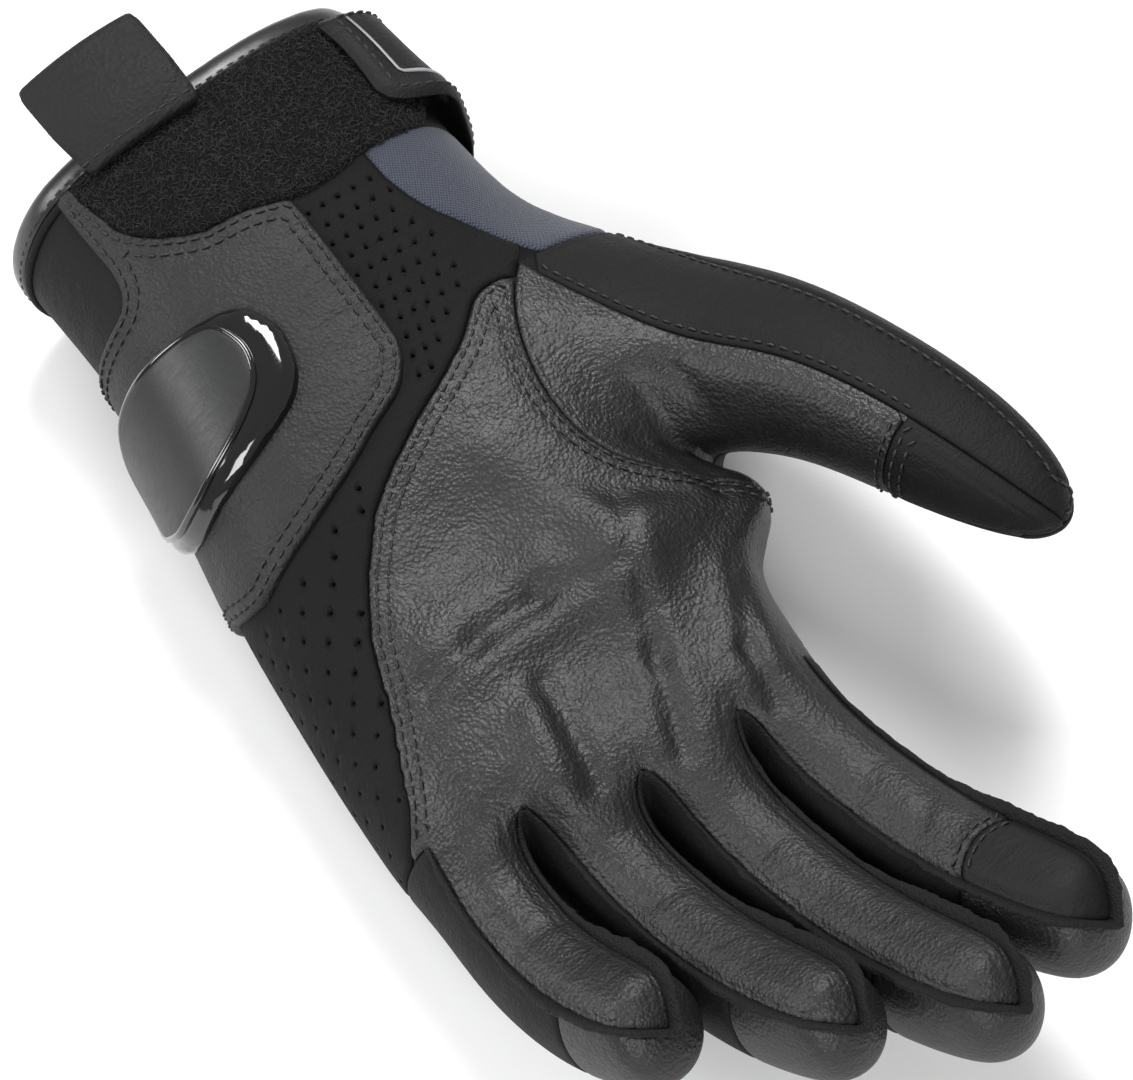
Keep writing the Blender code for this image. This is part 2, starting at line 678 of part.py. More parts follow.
def split_along(shell, rows, tags, new_tag, closed=False):
    """Cut the faces that have one of the tags along a seam and retag those on its right."""
    side = seam_side(shell.points, rows, closed)
    points, normals = list(shell.points), list(shell.normals)
    side = list(side)
    cuts = {}

    def crossing(a, b):
        key = (min(a, b), max(a, b))
        if key not in cuts:
            t = side[key[0]] / (side[key[0]] - side[key[1]])
            points.append(points[key[0]] * (1 - t) + points[key[1]] * t)
            normals.append(normals[key[0]] * (1 - t) + normals[key[1]] * t)
            side.append(0.0)
            cuts[key] = len(points) - 1
        return cuts[key]

    snap = 0.0012
    concerned = {v for ring, tag in zip(shell.faces, shell.tags) if tag in tags for v in ring}
    for v in concerned:
        if abs(side[v]) < snap:
            side[v] = 0.0
    faces, out_tags = [], []
    for ring, tag in zip(shell.faces, shell.tags):
        signs = [side[v] for v in ring]
        crossed = min(signs) < 0 < max(signs)
        if not crossed:
            faces.append(ring)
            out_tags.append(new_tag if tag in tags and max(signs) <= 0 else tag)
            continue
        if tag not in tags:
            faces.append(ring)
            out_tags.append(tag)
            continue
        left, right = [], []
        for a, b in zip(ring, ring[1:] + ring[:1]):
            if side[a] >= 0:
                left.append(a)
            if side[a] <= 0:
                right.append(a)
            if side[a] * side[b] < 0:
                middle = crossing(a, b)
                left.append(middle)
                right.append(middle)
        faces.extend((tuple(left), tuple(right)))
        out_tags.extend((tag, new_tag))
    return Shell(np.array(points), faces, np.array(out_tags), np.array(normals))


def build_palm_side(shell):
    """The palm, the perforated side and the upper wrist fabric, parted along their seams."""
    caps = tuple(CAP + k for k in range(len(FINGERS)))
    low = (PALM_SIDE, ULNAR_UPPER, ULNAR_LOWER, STRETCH_UPPER)
    parted = split_along(shell, PALM_SEAM, low, PERFORATED)
    parted = split_along(parted, STRETCH_SEAM[::-1], (PERFORATED,), STRETCH_UPPER)
    palm = faces_with(parted, PALM_SIDE, ULNAR_UPPER, ULNAR_LOWER, RADIAL_UPPER, FINGER_PALM)
    wall("palm_panel", parted, palm, "palm_leather", lip_tags=caps)
    side = wall("perforated_panel", parted, faces_with(parted, PERFORATED), "matte_leather")
    wall("wrist_stretch_panel", parted, faces_with(parted, STRETCH_UPPER), "stretch_fabric")
    return side


def build_walls(shell):
    back = faces_with(shell, BACK_SIDE, FINGER_BACK, RADIAL_LOWER, STRETCH_LOWER)
    bare = {"flat": BARE_FLAT_ANGLE}
    wall("back_panel", shell, back, "stretch_fabric", **bare)
    wall("cuff_panel", shell, faces_with(shell, CUFF), "matte_leather")
    wall("index_side_panel", shell, faces_with(shell, SIDE_RADIAL), "matte_leather", **bare)
    wall("little_side_panel", shell, faces_with(shell, SIDE_ULNAR + 3), "matte_leather", **bare)
    for k in range(3):
        name = "fourchette_%s_%s" % (FINGERS[k].name, FINGERS[k + 1].name)
        wall(name, shell, faces_with(shell, SIDE_ULNAR + k, SIDE_RADIAL + k + 1), "matte_leather", **bare)
    for k, finger in enumerate(FINGERS):
        wall("fingertip_cap_" + finger.name, shell, faces_with(shell, CAP + k), "palm_leather", **bare)
    wall("index_touch_pad", shell, faces_with(shell, PAD), "matte_leather", lip_tags=(CAP,), **bare)
    wall("thumb_gusset", shell, faces_with(shell, THUMB_INNER), "palm_leather", **bare)
    wall("thumb_tip_patch", shell, faces_with(shell, THUMB_PATCH), "palm_leather", **bare)
    wall("thumb_outer_panel", shell, faces_with(shell, THUMB_OUTER), "matte_leather", **bare)
    wall("thumb_back_panel", shell, faces_with(shell, THUMB_BACK), "matte_leather", **bare)


def finer(shell, rows, neighbour):
    """The shell near an outline, with each triangle beside its line split flat into four."""
    turns = [r.turn for r in rows]
    ends = [r.along * HAND_LENGTH for r in rows]
    margin = 0.012
    spread = 16.0
    beside = 0.0065
    chosen = []
    for f in faces_with(shell, PALM_SIDE, ULNAR_UPPER, ULNAR_LOWER, STRETCH_UPPER, CUFF):
        middle = shell.points[list(shell.faces[f])].mean(axis=0)
        level = min(ends) - margin < middle[1] < max(ends) + margin
        if level and min(turns) - spread < wrap_turn(middle) < max(turns) + spread:
            chosen.append(shell.faces[f])
    distance = np.abs(seam_side(shell.points, rows, True))
    if neighbour:
        distance = np.minimum(distance, np.abs(seam_side(shell.points, neighbour, True)))
    points, normals = list(shell.points), list(shell.normals)
    halves = {}

    def half(a, b):
        key = (min(a, b), max(a, b))
        if key not in halves:
            points.append((points[a] + points[b]) / 2)
            normals.append((normals[a] + normals[b]) / 2)
            halves[key] = len(points) - 1
        return halves[key]

    faces, kept = [], []
    for a, b, c in chosen:
        if min(distance[a], distance[b], distance[c]) > beside:
            kept.append((a, b, c))
            continue
        ab, bc, ca = half(a, b), half(b, c), half(c, a)
        faces.extend(((a, ab, ca), (ab, b, bc), (ca, bc, c), (ab, bc, ca)))
    for ring in kept:
        grown = []
        for a, b in zip(ring, ring[1:] + ring[:1]):
            grown.append(a)
            if (min(a, b), max(a, b)) in halves:
                grown.append(halves[(min(a, b), max(a, b))])
        faces.append(tuple(grown))
    return Shell(np.array(points), faces, np.zeros(len(faces), dtype=int), np.array(normals))


def overlay(name, shell, rows, finish, low, high, lean=0.0, neighbour=None, clear=False):
    """A closed layer inside an outline, lying on the shell between two heights.

    A neighbour is the outline of a layer beside it, and a clear layer stays out of it.
    """
    inside, outside, beyond = 0, 1, 2
    parted = split_along(finer(shell, rows, neighbour), rows, (inside,), outside, closed=True)
    kept = inside
    if clear:
        parted = split_along(parted, neighbour, (inside,), beyond, closed=True)
        kept = beyond
    wall(name, parted, faces_with(parted, kept), finish, low, high, lean=lean)


def build_overlays(shell):
    patch_low = SEAM_GAP
    patch_high = patch_low + PATCH_THICKNESS
    leather = ("palm_leather", patch_low, patch_high)
    overlay("heel_patch", shell, PATCH_OUTLINE, *leather, neighbour=LOOP_OUTLINE, clear=True)
    loop_high = patch_low + LOOP_THICKNESS
    pile = ("loop_fabric", patch_low, loop_high)
    overlay("loop_field", shell, LOOP_OUTLINE, *pile, neighbour=PATCH_OUTLINE)
    slider_low = patch_high + SEAM_GAP
    slider_high = slider_low + SLIDER_HEIGHT
    overlay("slider_base", shell, SLIDER_OUTLINE, "slider_plastic", slider_low, slider_high, SLIDER_BEVEL)
    inlay_low = slider_high + SEAM_GAP
    overlay("slider_inlay", shell, INLAY_OUTLINE, "inlay_rubber", inlay_low, inlay_low + INLAY_THICKNESS)


def build_binding(shell):
    """A rounded band round the rim, face to face with the cuff's edge."""
    directed = set()
    for ring in shell.faces:
        directed.update(zip(ring, ring[1:] + ring[:1]))
    following = {a: b for a, b in directed if (b, a) not in directed}
    start = min(following)
    loop = [start]
    while following[loop[-1]] != start:
        loop.append(following[loop[-1]])
    half = BINDING_THICKNESS / 2
    middle = -LEATHER_THICKNESS / 2
    profile = [
        (0.0, -0.8), (0.0, 0.8), (0.25, 1.0), (0.8, 0.85),
        (1.0, 0.3), (1.0, -0.3), (0.8, -0.85), (0.25, -1.0),
    ]
    vertices = []
    for v in loop:
        normal = shell.normals[v].copy()
        normal[1] = 0.0
        normal /= np.linalg.norm(normal)
        for forward, out in profile:
            point = shell.points[v] + normal * (middle + half * out)
            point[1] -= SEAM_GAP + forward * BINDING_WIDTH
            point[2] = max(point[2], 0.0)
            vertices.append(point)
    faces = []
    count, sides = len(loop), len(profile)
    for k in range(count):
        n = (k + 1) % count
        for s in range(sides):
            q = (s + 1) % sides
            faces.append((k * sides + s, n * sides + s, n * sides + q, k * sides + q))
    outward(new_object("cuff_binding", vertices, faces, "binding_vinyl"))


def sweep(name, surface, turns, profile, finish):
    """A closed body: a profile of (y, height) repeated over a row of turns."""
    vertices = []
    for turn in turns:
        for y, height in profile:
            vertices.append(surface.at(turn, y, height))
    sides = len(profile)
    faces = []
    for k in range(len(turns) - 1):
        for s in range(sides):
            q = (s + 1) % sides
            faces.append((k * sides + s, k * sides + q, (k + 1) * sides + q, (k + 1) * sides + s))
    faces.append(tuple(reversed(range(sides))))
    faces.append(tuple(range((len(turns) - 1) * sides, len(turns) * sides)))
    outward(new_object(name, vertices, faces, finish))


def build_tab(surface):
    """The folded leather loop that stands out over the rim."""
    width = math.degrees(TAB_WIDTH / 2 / (HAND_DEPTH * 0.58))
    turns = np.linspace(TAB_TURN - width, TAB_TURN + width, 7)
    base = 2 * SEAM_GAP + LOOP_THICKNESS
    over = base + BINDING_THICKNESS / 2
    slot = 0.0006
    root = TAB_ROOT * HAND_LENGTH
    fold_y = surface.rim - BINDING_WIDTH - TAB_REACH
    ledge = surface.rim - BINDING_WIDTH
    thick = TAB_THICKNESS
    profile = [
        (root, base), (root, base + thick), (root, base + 2 * thick + slot),
        (ledge, over + 2 * thick + slot), (fold_y, over + 2 * thick + slot), (fold_y - thick, over + thick),
        (fold_y, over), (ledge, over), (ledge + 0.002, over),
    ]
    sweep("pull_tab", surface, turns, profile, "matte_leather")


def build_strap(surface):
    """The closure strap round the thumb side of the cuff, with the hook tape under its end."""
    start, end = STRAP_TURNS
    hook = 3.5 * SEAM_GAP + LOOP_THICKNESS
    under = hook + HOOK_THICKNESS + SEAM_GAP
    middle = STRAP_ALONG * HAND_LENGTH
    low_y = middle - STRAP_WIDTH / 2
    high_y = middle + STRAP_WIDTH / 2
    rows = np.linspace(low_y, high_y, 6)
    rise = STRAP_THICKNESS
    strap = [(y, under) for y in rows] + [(y, under + rise) for y in reversed(rows)]
    sweep("closure_strap", surface, np.linspace(start, end, 12), strap, "matte_leather")
    edge = 0.0025
    rows = np.linspace(low_y + edge, high_y - edge, 5)
    tape = [(y, hook) for y in rows] + [(y, hook + HOOK_THICKNESS) for y in reversed(rows)]
    sweep("hook_patch", surface, np.linspace(start - 1.5, start - 16, 4), tape, "hook_tape")


def pierce(side, surface):
    """Rows of small round holes through the perforated panel."""
    tools = []
    rows = int(HAND_LENGTH * 0.62 / (HOLE_PITCH * 0.87))
    centres = []
    for r in range(rows):
        y = HAND_LENGTH * 0.235 + r * HOLE_PITCH * 0.87
        for c in range(-7, 26):
            turn = math.degrees((c + 0.5 * (r % 2)) * HOLE_PITCH / (HAND_DEPTH * 0.72))
            if hole_fits(turn, y):
                centres.append((turn, y))
    for turn, y in centres:
        way = surface.ray(turn)
        foot = surface.at(turn, y)
        ahead = Vector((0.0, 1.0, 0.0))
        across = way.cross(ahead)
        ring = []
        for height in (-2.0 * LEATHER_THICKNESS, 1.2 * LEATHER_THICKNESS):
            for k in range(HOLE_SIDES):
                angle = 2 * math.pi * k / HOLE_SIDES
                spoke = across * math.cos(angle) + ahead * math.sin(angle)
                ring.append(foot + way * height + spoke * HOLE_DIAMETER / 2)
        tools.append(ring)
    vertices = [p for ring in tools for p in ring]
    faces = []
    for n in range(len(tools)):
        first = 2 * HOLE_SIDES * n
        beyond = first + HOLE_SIDES
        faces.append([first + k for k in range(HOLE_SIDES)])
        faces.append([beyond + HOLE_SIDES - 1 - k for k in range(HOLE_SIDES)])
        for k in range(HOLE_SIDES):
            q = (k + 1) % HOLE_SIDES
            faces.append([first + k, beyond + k, beyond + q, first + q])
    cutter = new_object("hole_cutter", vertices, faces, "hook_tape")
    outward(cutter)
    cut(side, cutter)


def hole_fits(turn, y):
    """Whether a hole lies on the bare perforated leather, clear of its seams and the patch."""
    margin = 0.0034
    if turn > 105 or turn < -30:
        return False
    seam = height_at(PALM_SEAM, turn)
    if y > seam - margin:
        return False
    if turn < 0:
        return y > LOOP_OUTLINE[5].along * HAND_LENGTH + margin
    patch = height_at(PATCH_OUTLINE[2:9], turn)
    return y > patch + margin


def height_at(rows, turn):
    turns = [r.turn for r in rows]
    return float(np.interp(turn, turns, [r.along for r in rows])) * HAND_LENGTH


def settle():
    """Put the origin under the middle of the part's box."""
    things = [t for t in bpy.data.objects if t.type == "MESH"]
    low = np.min([np.min([v.co[:] for v in t.data.vertices], axis=0) for t in things], axis=0)
    high = np.max([np.max([v.co[:] for v in t.data.vertices], axis=0) for t in things], axis=0)
    shift = Vector(((low[0] + high[0]) / 2, (low[1] + high[1]) / 2, low[2]))
    for thing in things:
        for v in thing.data.vertices:
            v.co -= shift
        thing.data.shade_smooth()
        thing.data.set_sharp_from_angle(angle=math.radians(38))


def main():
    for thing in list(bpy.data.objects):
        bpy.data.objects.remove(thing, do_unlink=True)
    shell = smooth_shell(1)
    surface = Surface(shell)
    side = build_palm_side(shell)
    pierce(side, surface)
    build_walls(shell)
    build_overlays(shell)
    build_binding(shell)
    build_tab(surface)
    build_strap(surface)
    settle()


main()
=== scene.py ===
import math
from collections import namedtuple

import bmesh
import bpy
import numpy as np
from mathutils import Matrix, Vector
from mathutils.bvhtree import BVHTree
from mathutils.kdtree import KDTree


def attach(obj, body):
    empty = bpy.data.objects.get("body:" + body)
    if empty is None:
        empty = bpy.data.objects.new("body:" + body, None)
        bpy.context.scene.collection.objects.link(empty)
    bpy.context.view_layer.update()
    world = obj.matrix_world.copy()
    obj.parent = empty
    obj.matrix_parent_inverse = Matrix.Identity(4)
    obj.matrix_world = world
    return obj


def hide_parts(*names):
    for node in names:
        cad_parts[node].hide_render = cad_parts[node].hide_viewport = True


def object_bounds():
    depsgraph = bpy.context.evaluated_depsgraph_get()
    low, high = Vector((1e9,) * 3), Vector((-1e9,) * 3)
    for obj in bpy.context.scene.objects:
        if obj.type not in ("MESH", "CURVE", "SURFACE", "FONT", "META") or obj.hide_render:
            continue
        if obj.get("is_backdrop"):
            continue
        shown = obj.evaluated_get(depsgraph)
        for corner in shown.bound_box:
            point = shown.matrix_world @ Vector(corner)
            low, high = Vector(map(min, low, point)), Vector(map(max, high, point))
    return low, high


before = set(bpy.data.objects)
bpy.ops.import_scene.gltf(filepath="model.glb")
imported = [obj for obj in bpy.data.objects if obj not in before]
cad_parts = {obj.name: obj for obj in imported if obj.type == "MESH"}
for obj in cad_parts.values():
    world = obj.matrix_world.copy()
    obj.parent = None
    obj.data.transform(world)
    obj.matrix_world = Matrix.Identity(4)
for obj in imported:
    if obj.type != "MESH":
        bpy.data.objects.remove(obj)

# The hand's dimensions and tables, as in the part's source
PALM_WIDTH = 0.104
HAND_LENGTH = 0.182
HAND_DEPTH = 0.058
FINGER_LENGTH = 0.097
FINGER_GAP = 0.0012
FINGER_DEPTH = 0.0285
THUMB_LENGTH = 0.100
THUMB_WIDTH = 0.032
LEATHER_THICKNESS = 0.0016
SEAM_GAP = 0.0003
PATCH_THICKNESS = 0.0014
LOOP_THICKNESS = 0.0015
HOOK_THICKNESS = 0.0010
STRAP_THICKNESS = 0.0020
STRAP_WIDTH = 0.032
SLIDER_HEIGHT = 0.0036
BINDING_WIDTH = 0.0052
BINDING_THICKNESS = 0.0036
TAB_WIDTH = 0.025
TAB_REACH = 0.0165
TAB_THICKNESS = 0.0013

# Sections of the hand from the rim to the finger roots. Along is a share of HAND_LENGTH,
# centre and width of PALM_WIDTH, bottom and top of HAND_DEPTH.
Section = namedtuple("Section", "along centre width bottom top")
SECTIONS = [
    Section(0.030, 0.050, 0.92, 0.00, 1.00),
    Section(0.110, 0.048, 0.92, 0.00, 1.01),
    Section(0.200, 0.048, 0.92, 0.00, 0.99),
    Section(0.290, 0.050, 0.95, -0.01, 0.96),
    Section(0.385, 0.062, 0.98, -0.02, 0.93),
    Section(0.470, 0.085, 1.00, -0.03, 0.90),
    Section(0.560, 0.108, 1.02, -0.03, 0.87),
    Section(0.660, 0.135, 1.01, -0.03, 0.84),
    Section(0.755, 0.160, 1.00, -0.03, 0.81),
    Section(0.835, 0.183, 0.98, -0.02, 0.80),
    Section(0.915, 0.198, 0.96, -0.01, 0.79),
    Section(0.985, 0.207, 0.95, 0.00, 0.78),
]
CUFF_LAST = 2
THUMB_FIRST = 4
THUMB_LAST = 8
WRAP_CENTRE = (0.05, 0.45)

# Places of the nine lengthwise lines across the palm, as shares of its half width.
ACROSS = [-0.86, -0.67, -0.46, -0.225, 0.01, 0.245, 0.48, 0.67, 0.86]
# Where each line meets the finger roots, as shares of HAND_LENGTH.
ROOT_ALONG = [0.980, 1.000, 1.000, 1.011, 1.000, 0.989, 0.951, 0.945, 0.912]
RIM_SKEW = 0.10

# Shares of PALM_WIDTH, HAND_LENGTH and HAND_DEPTH.
Corner = namedtuple("Corner", "side along height")
GUSSET_SEAM = [
    Corner(-0.212, 0.385, 0.880),
    Corner(-0.125, 0.484, 0.897),
    Corner(-0.087, 0.593, 0.880),
    Corner(-0.154, 0.714, 0.810),
    Corner(-0.481, 0.790, 0.620),
]
THUMB_BACK_SEAM = [
    Corner(-0.442, 0.396, 0.103),
    Corner(-0.442, 0.484, 0.069),
    Corner(-0.423, 0.571, 0.069),
    Corner(-0.394, 0.670, 0.086),
    Corner(-0.365, 0.775, 0.103),
]
THUMB_HEEL = Corner(-0.630, 0.395, 0.580)
CROTCH = Corner(-0.430, 0.795, 0.345)
THUMB_ROOT = Corner(-0.442, 0.571, 0.517)

# The thumb's middle line from its root: side, forward and rise are shares of THUMB_LENGTH,
# width and depth of THUMB_WIDTH.
ThumbRing = namedtuple("ThumbRing", "side forward rise width depth")
THUMB_RINGS = [
    ThumbRing(-0.070, 0.030, 0.035, 1.49, 1.25),
    ThumbRing(-0.165, 0.185, 0.090, 1.27, 1.20),
    ThumbRing(-0.225, 0.350, 0.125, 1.12, 1.08),
    ThumbRing(-0.270, 0.520, 0.150, 1.05, 0.97),
    ThumbRing(-0.305, 0.690, 0.168, 0.88, 0.78),
    ThumbRing(-0.325, 0.840, 0.180, 0.51, 0.48),
]
THUMB_TIP_REACH = 0.065
THUMB_ANGLES = [38, 55, 72, 89, 106, 124, 146, 170, 194, 220, 252, 322]
THUMB_PATCH_FROM = 3

# Finger length is a share of FINGER_LENGTH, width of the pitch of the fingers. Yaw turns
# towards the little finger and curl lifts from the floor, in degrees at root and tip.
Finger = namedtuple("Finger", "name length width depth yaw_root yaw_tip curl_root curl_tip")
FINGERS = [
    Finger("index", 0.98, 1.10, 1.03, -1, -19, 4, 34),
    Finger("middle", 1.02, 1.03, 1.02, 2, -17, 4, 38),
    Finger("ring", 0.90, 1.00, 0.96, 4, -18, 5, 40),
    Finger("little", 0.73, 1.03, 0.95, 12, -22, 0, 44),
]
# Rings along a finger: along is a share of its length, width and depth of its size.
FingerRing = namedtuple("FingerRing", "along width depth")
FINGER_RINGS = [
    FingerRing(0.13, 0.98, 1.00),
    FingerRing(0.32, 1.00, 1.00),
    FingerRing(0.51, 1.00, 1.00),
    FingerRing(0.69, 1.00, 0.98),
    FingerRing(0.85, 0.98, 0.91),
    FingerRing(0.955, 0.86, 0.78),
]
# The eight corners of a finger's ring: across and up, as shares of its half width and depth.
FINGER_PROFILE = [
    (-0.74, 0.78), (0.0, 1.0), (0.74, 0.78), (1.0, 0.0),
    (0.74, -0.78), (0.0, -1.0), (-0.74, -0.78), (-1.0, 0.0),
]
CAP_FROM = 4
PAD_FROM = 4
PAD_ARC = 0.045

# Soft dents and folds of the shell: start and end are shares of PALM_WIDTH and HAND_LENGTH,
# spread of PALM_WIDTH, height of HAND_DEPTH, and a dent has a negative height.
Fold = namedtuple("Fold", "start_side start_along end_side end_along spread height")
FOLDS = [
    Fold(0.20, 0.68, 0.12, 0.88, 0.17, -0.055),
    Fold(0.36, 0.79, -0.04, 0.80, 0.060, 0.030),
    Fold(0.30, 0.88, 0.36, 0.96, 0.055, 0.035),
    Fold(-0.06, 0.76, 0.06, 0.93, 0.060, 0.030),
    Fold(-0.20, 0.86, -0.13, 0.96, 0.055, 0.028),
    Fold(-0.34, 0.64, -0.36, 0.76, 0.060, -0.035),
]

# Seams and outlines on the wrapped hand: turn in degrees round the hand from the top of the
# palm towards the little finger, along as a share of HAND_LENGTH.
Wrap = namedtuple("Wrap", "turn along")
PALM_SEAM = [
    Wrap(-60, 0.450), Wrap(-48, 0.420), Wrap(-37, 0.428), Wrap(-22, 0.468), Wrap(-4, 0.495),
    Wrap(18, 0.522), Wrap(36, 0.550), Wrap(50, 0.585), Wrap(60, 0.640), Wrap(67, 0.705),
    Wrap(73, 0.800), Wrap(79, 0.880), Wrap(90, 0.930), Wrap(101, 0.955),
]
STRETCH_SEAM = [Wrap(-34, 0.150), Wrap(-36, 0.245), Wrap(-42, 0.300), Wrap(-56, 0.362), Wrap(-70, 0.450)]
LOOP_OUTLINE = [
    Wrap(46, -0.050), Wrap(49, 0.105), Wrap(43, 0.155), Wrap(31, 0.187), Wrap(16, 0.195), Wrap(-1, 0.212),
    Wrap(-18, 0.214), Wrap(-35, 0.203), Wrap(-58, 0.190), Wrap(-66, 0.120), Wrap(-62, -0.050),
]
PATCH_OUTLINE = [
    Wrap(-1, 0.212), Wrap(-1, 0.320), Wrap(1, 0.434), Wrap(13, 0.478), Wrap(33, 0.505), Wrap(53, 0.540),
    Wrap(76, 0.578), Wrap(92, 0.545), Wrap(113, 0.510), Wrap(115, 0.350), Wrap(112, 0.200),
    Wrap(85, 0.190), Wrap(62, 0.192), Wrap(57, 0.150), Wrap(56, -0.050), Wrap(40, -0.050),
    Wrap(38, 0.120), Wrap(10, 0.160),
]
SLIDER_OUTLINE = [
    Wrap(66, 0.266), Wrap(53, 0.274), Wrap(43, 0.284), Wrap(36, 0.302), Wrap(33, 0.345), Wrap(37, 0.392),
    Wrap(45, 0.425), Wrap(57, 0.446), Wrap(69, 0.460), Wrap(82, 0.460), Wrap(94, 0.432), Wrap(101, 0.380),
    Wrap(99, 0.320), Wrap(85, 0.272),
]
INLAY_OUTLINE = [
    Wrap(68, 0.280), Wrap(55, 0.286), Wrap(47, 0.300), Wrap(45, 0.345), Wrap(49, 0.385), Wrap(59, 0.418),
    Wrap(71, 0.442), Wrap(82, 0.440), Wrap(91, 0.410), Wrap(96, 0.365), Wrap(93, 0.312), Wrap(82, 0.284),
]

# The closure strap in the same wrap, from its end on the palm to its seam on the back.
STRAP_TURNS = (-50.0, -116.0)
STRAP_ALONG = 0.108
TAB_TURN = 22.0
TAB_ROOT = 0.050

# What this scene adds
LEVELS = 3
SEAM_SNAP = 0.0002
SHIFT = np.array([0.00905356, -0.12817502, 0.0])
EDGE_ROLL = 0.0014
EDGE_DROP = 0.0009
STITCH_PITCH = 0.0029
STITCH_DENT = 0.00022
FLANGE_HEIGHT = 0.0026
SIDE_FLANGE = 0.38
FLANGE_WIDTH = 0.0014
FIBRE_COUNT = 5200
HOLE_STEP = 0.0050
HOLE_SIZE = 0.0011
TAB_STITCH_INSET = 0.0022
TAPE_CLEARANCE = 0.0002
LAYER_SINK = 0.0004
RIDGE_RADIUS = 0.0008
FLOOR_REACH = 6.0
WEAVE_PITCH = 0.0009
LENS = 140.0
VIEW_TURN = 143.0
VIEW_LIFT = 60.0
VIEW_DISTANCE = 0.9
VIEW_TARGET = (0.0, 0.128, 0.035)
WORLD_LIGHT = 0.35
LAMPS = [
    ("key", (-0.45, -0.55, 1.15), 0.5, 16.0),
    ("left", (0.95, -0.6, 0.8), 0.6, 12.0),
    ("front", (0.45, 0.95, 0.9), 0.6, 12.0),
]

# Narrow creases of the leather, in the same columns as the folds
CREASES = [
    Fold(0.44, 0.785, 0.31, 0.775, 0.026, -0.022),
    Fold(0.31, 0.775, 0.16, 0.775, 0.028, -0.026),
    Fold(0.16, 0.775, -0.01, 0.795, 0.026, -0.022),
    Fold(0.40, 0.735, 0.12, 0.735, 0.040, 0.016),
    Fold(0.26, 0.86, 0.30, 0.985, 0.028, -0.030),
    Fold(-0.09, 0.73, 0.04, 0.90, 0.026, -0.024),
    Fold(0.04, 0.90, 0.125, 1.01, 0.028, -0.034),
    Fold(-0.22, 0.85, -0.115, 0.95, 0.024, -0.022),
    Fold(-0.115, 0.95, -0.09, 1.02, 0.026, -0.030),
    Fold(-0.29, 0.62, -0.32, 0.75, 0.020, -0.026),
    Fold(-0.355, 0.62, -0.375, 0.72, 0.018, -0.022),
    Fold(-0.23, 0.66, -0.30, 0.77, 0.018, -0.020),
    Fold(0.05, 0.60, -0.02, 0.70, 0.050, 0.014),
    Fold(0.18, 1.14, 0.08, 1.15, 0.020, -0.010),
    Fold(0.42, 1.12, 0.30, 1.13, 0.020, -0.012),
    Fold(-0.06, 1.16, -0.16, 1.14, 0.020, -0.010),
    Fold(0.60, 1.08, 0.50, 1.08, 0.018, -0.010),
    Fold(0.20, 1.22, 0.10, 1.24, 0.016, -0.008),
    Fold(-0.10, 1.24, -0.20, 1.21, 0.016, -0.008),
]
FOLDS = FOLDS + CREASES

# Region tags of the shell's faces
PALM_SIDE, ULNAR_UPPER, ULNAR_LOWER, BACK_SIDE, RADIAL_LOWER, RADIAL_UPPER = range(6)
FINGER_PALM, FINGER_BACK, PAD = 6, 7, 9
THUMB_INNER, THUMB_PATCH, THUMB_OUTER, THUMB_BACK = 10, 11, 12, 13
CUFF, STRETCH_UPPER, STRETCH_LOWER, PERFORATED = 14, 15, 16, 17
SIDE_ULNAR, SIDE_RADIAL, CAP = 20, 30, 40
TAG_COUNT = 50


def swell(sides):
    """How far a ring's corners stand out so that its smoothed form has the asked size."""
    return 3.0 / (2.0 + math.cos(2.0 * math.pi / sides))


def oval(share, power):
    """Height of a rounded-off oval of half height 1 at a share of its half width."""
    return max(0.0, 1.0 - abs(share) ** power) ** (1.0 / power)


def place(corner):
    return np.array([corner.side * PALM_WIDTH, corner.along * HAND_LENGTH, corner.height * HAND_DEPTH])


class Cage:
    """The coarse cage: its points, faces and each face's region tag."""

    def __init__(self):
        self.points = []
        self.faces = []
        self.tags = []

    def add(self, point):
        self.points.append(np.array(point, dtype=float))
        return len(self.points) - 1

    def face(self, corners, tag):
        self.faces.append(tuple(corners))
        self.tags.append(tag)

    def bridge(self, ring, following, tags):
        count = len(ring)
        for i in range(count):
            k = (i + 1) % count
            self.face((ring[i], ring[k], following[k], following[i]), tags[i])


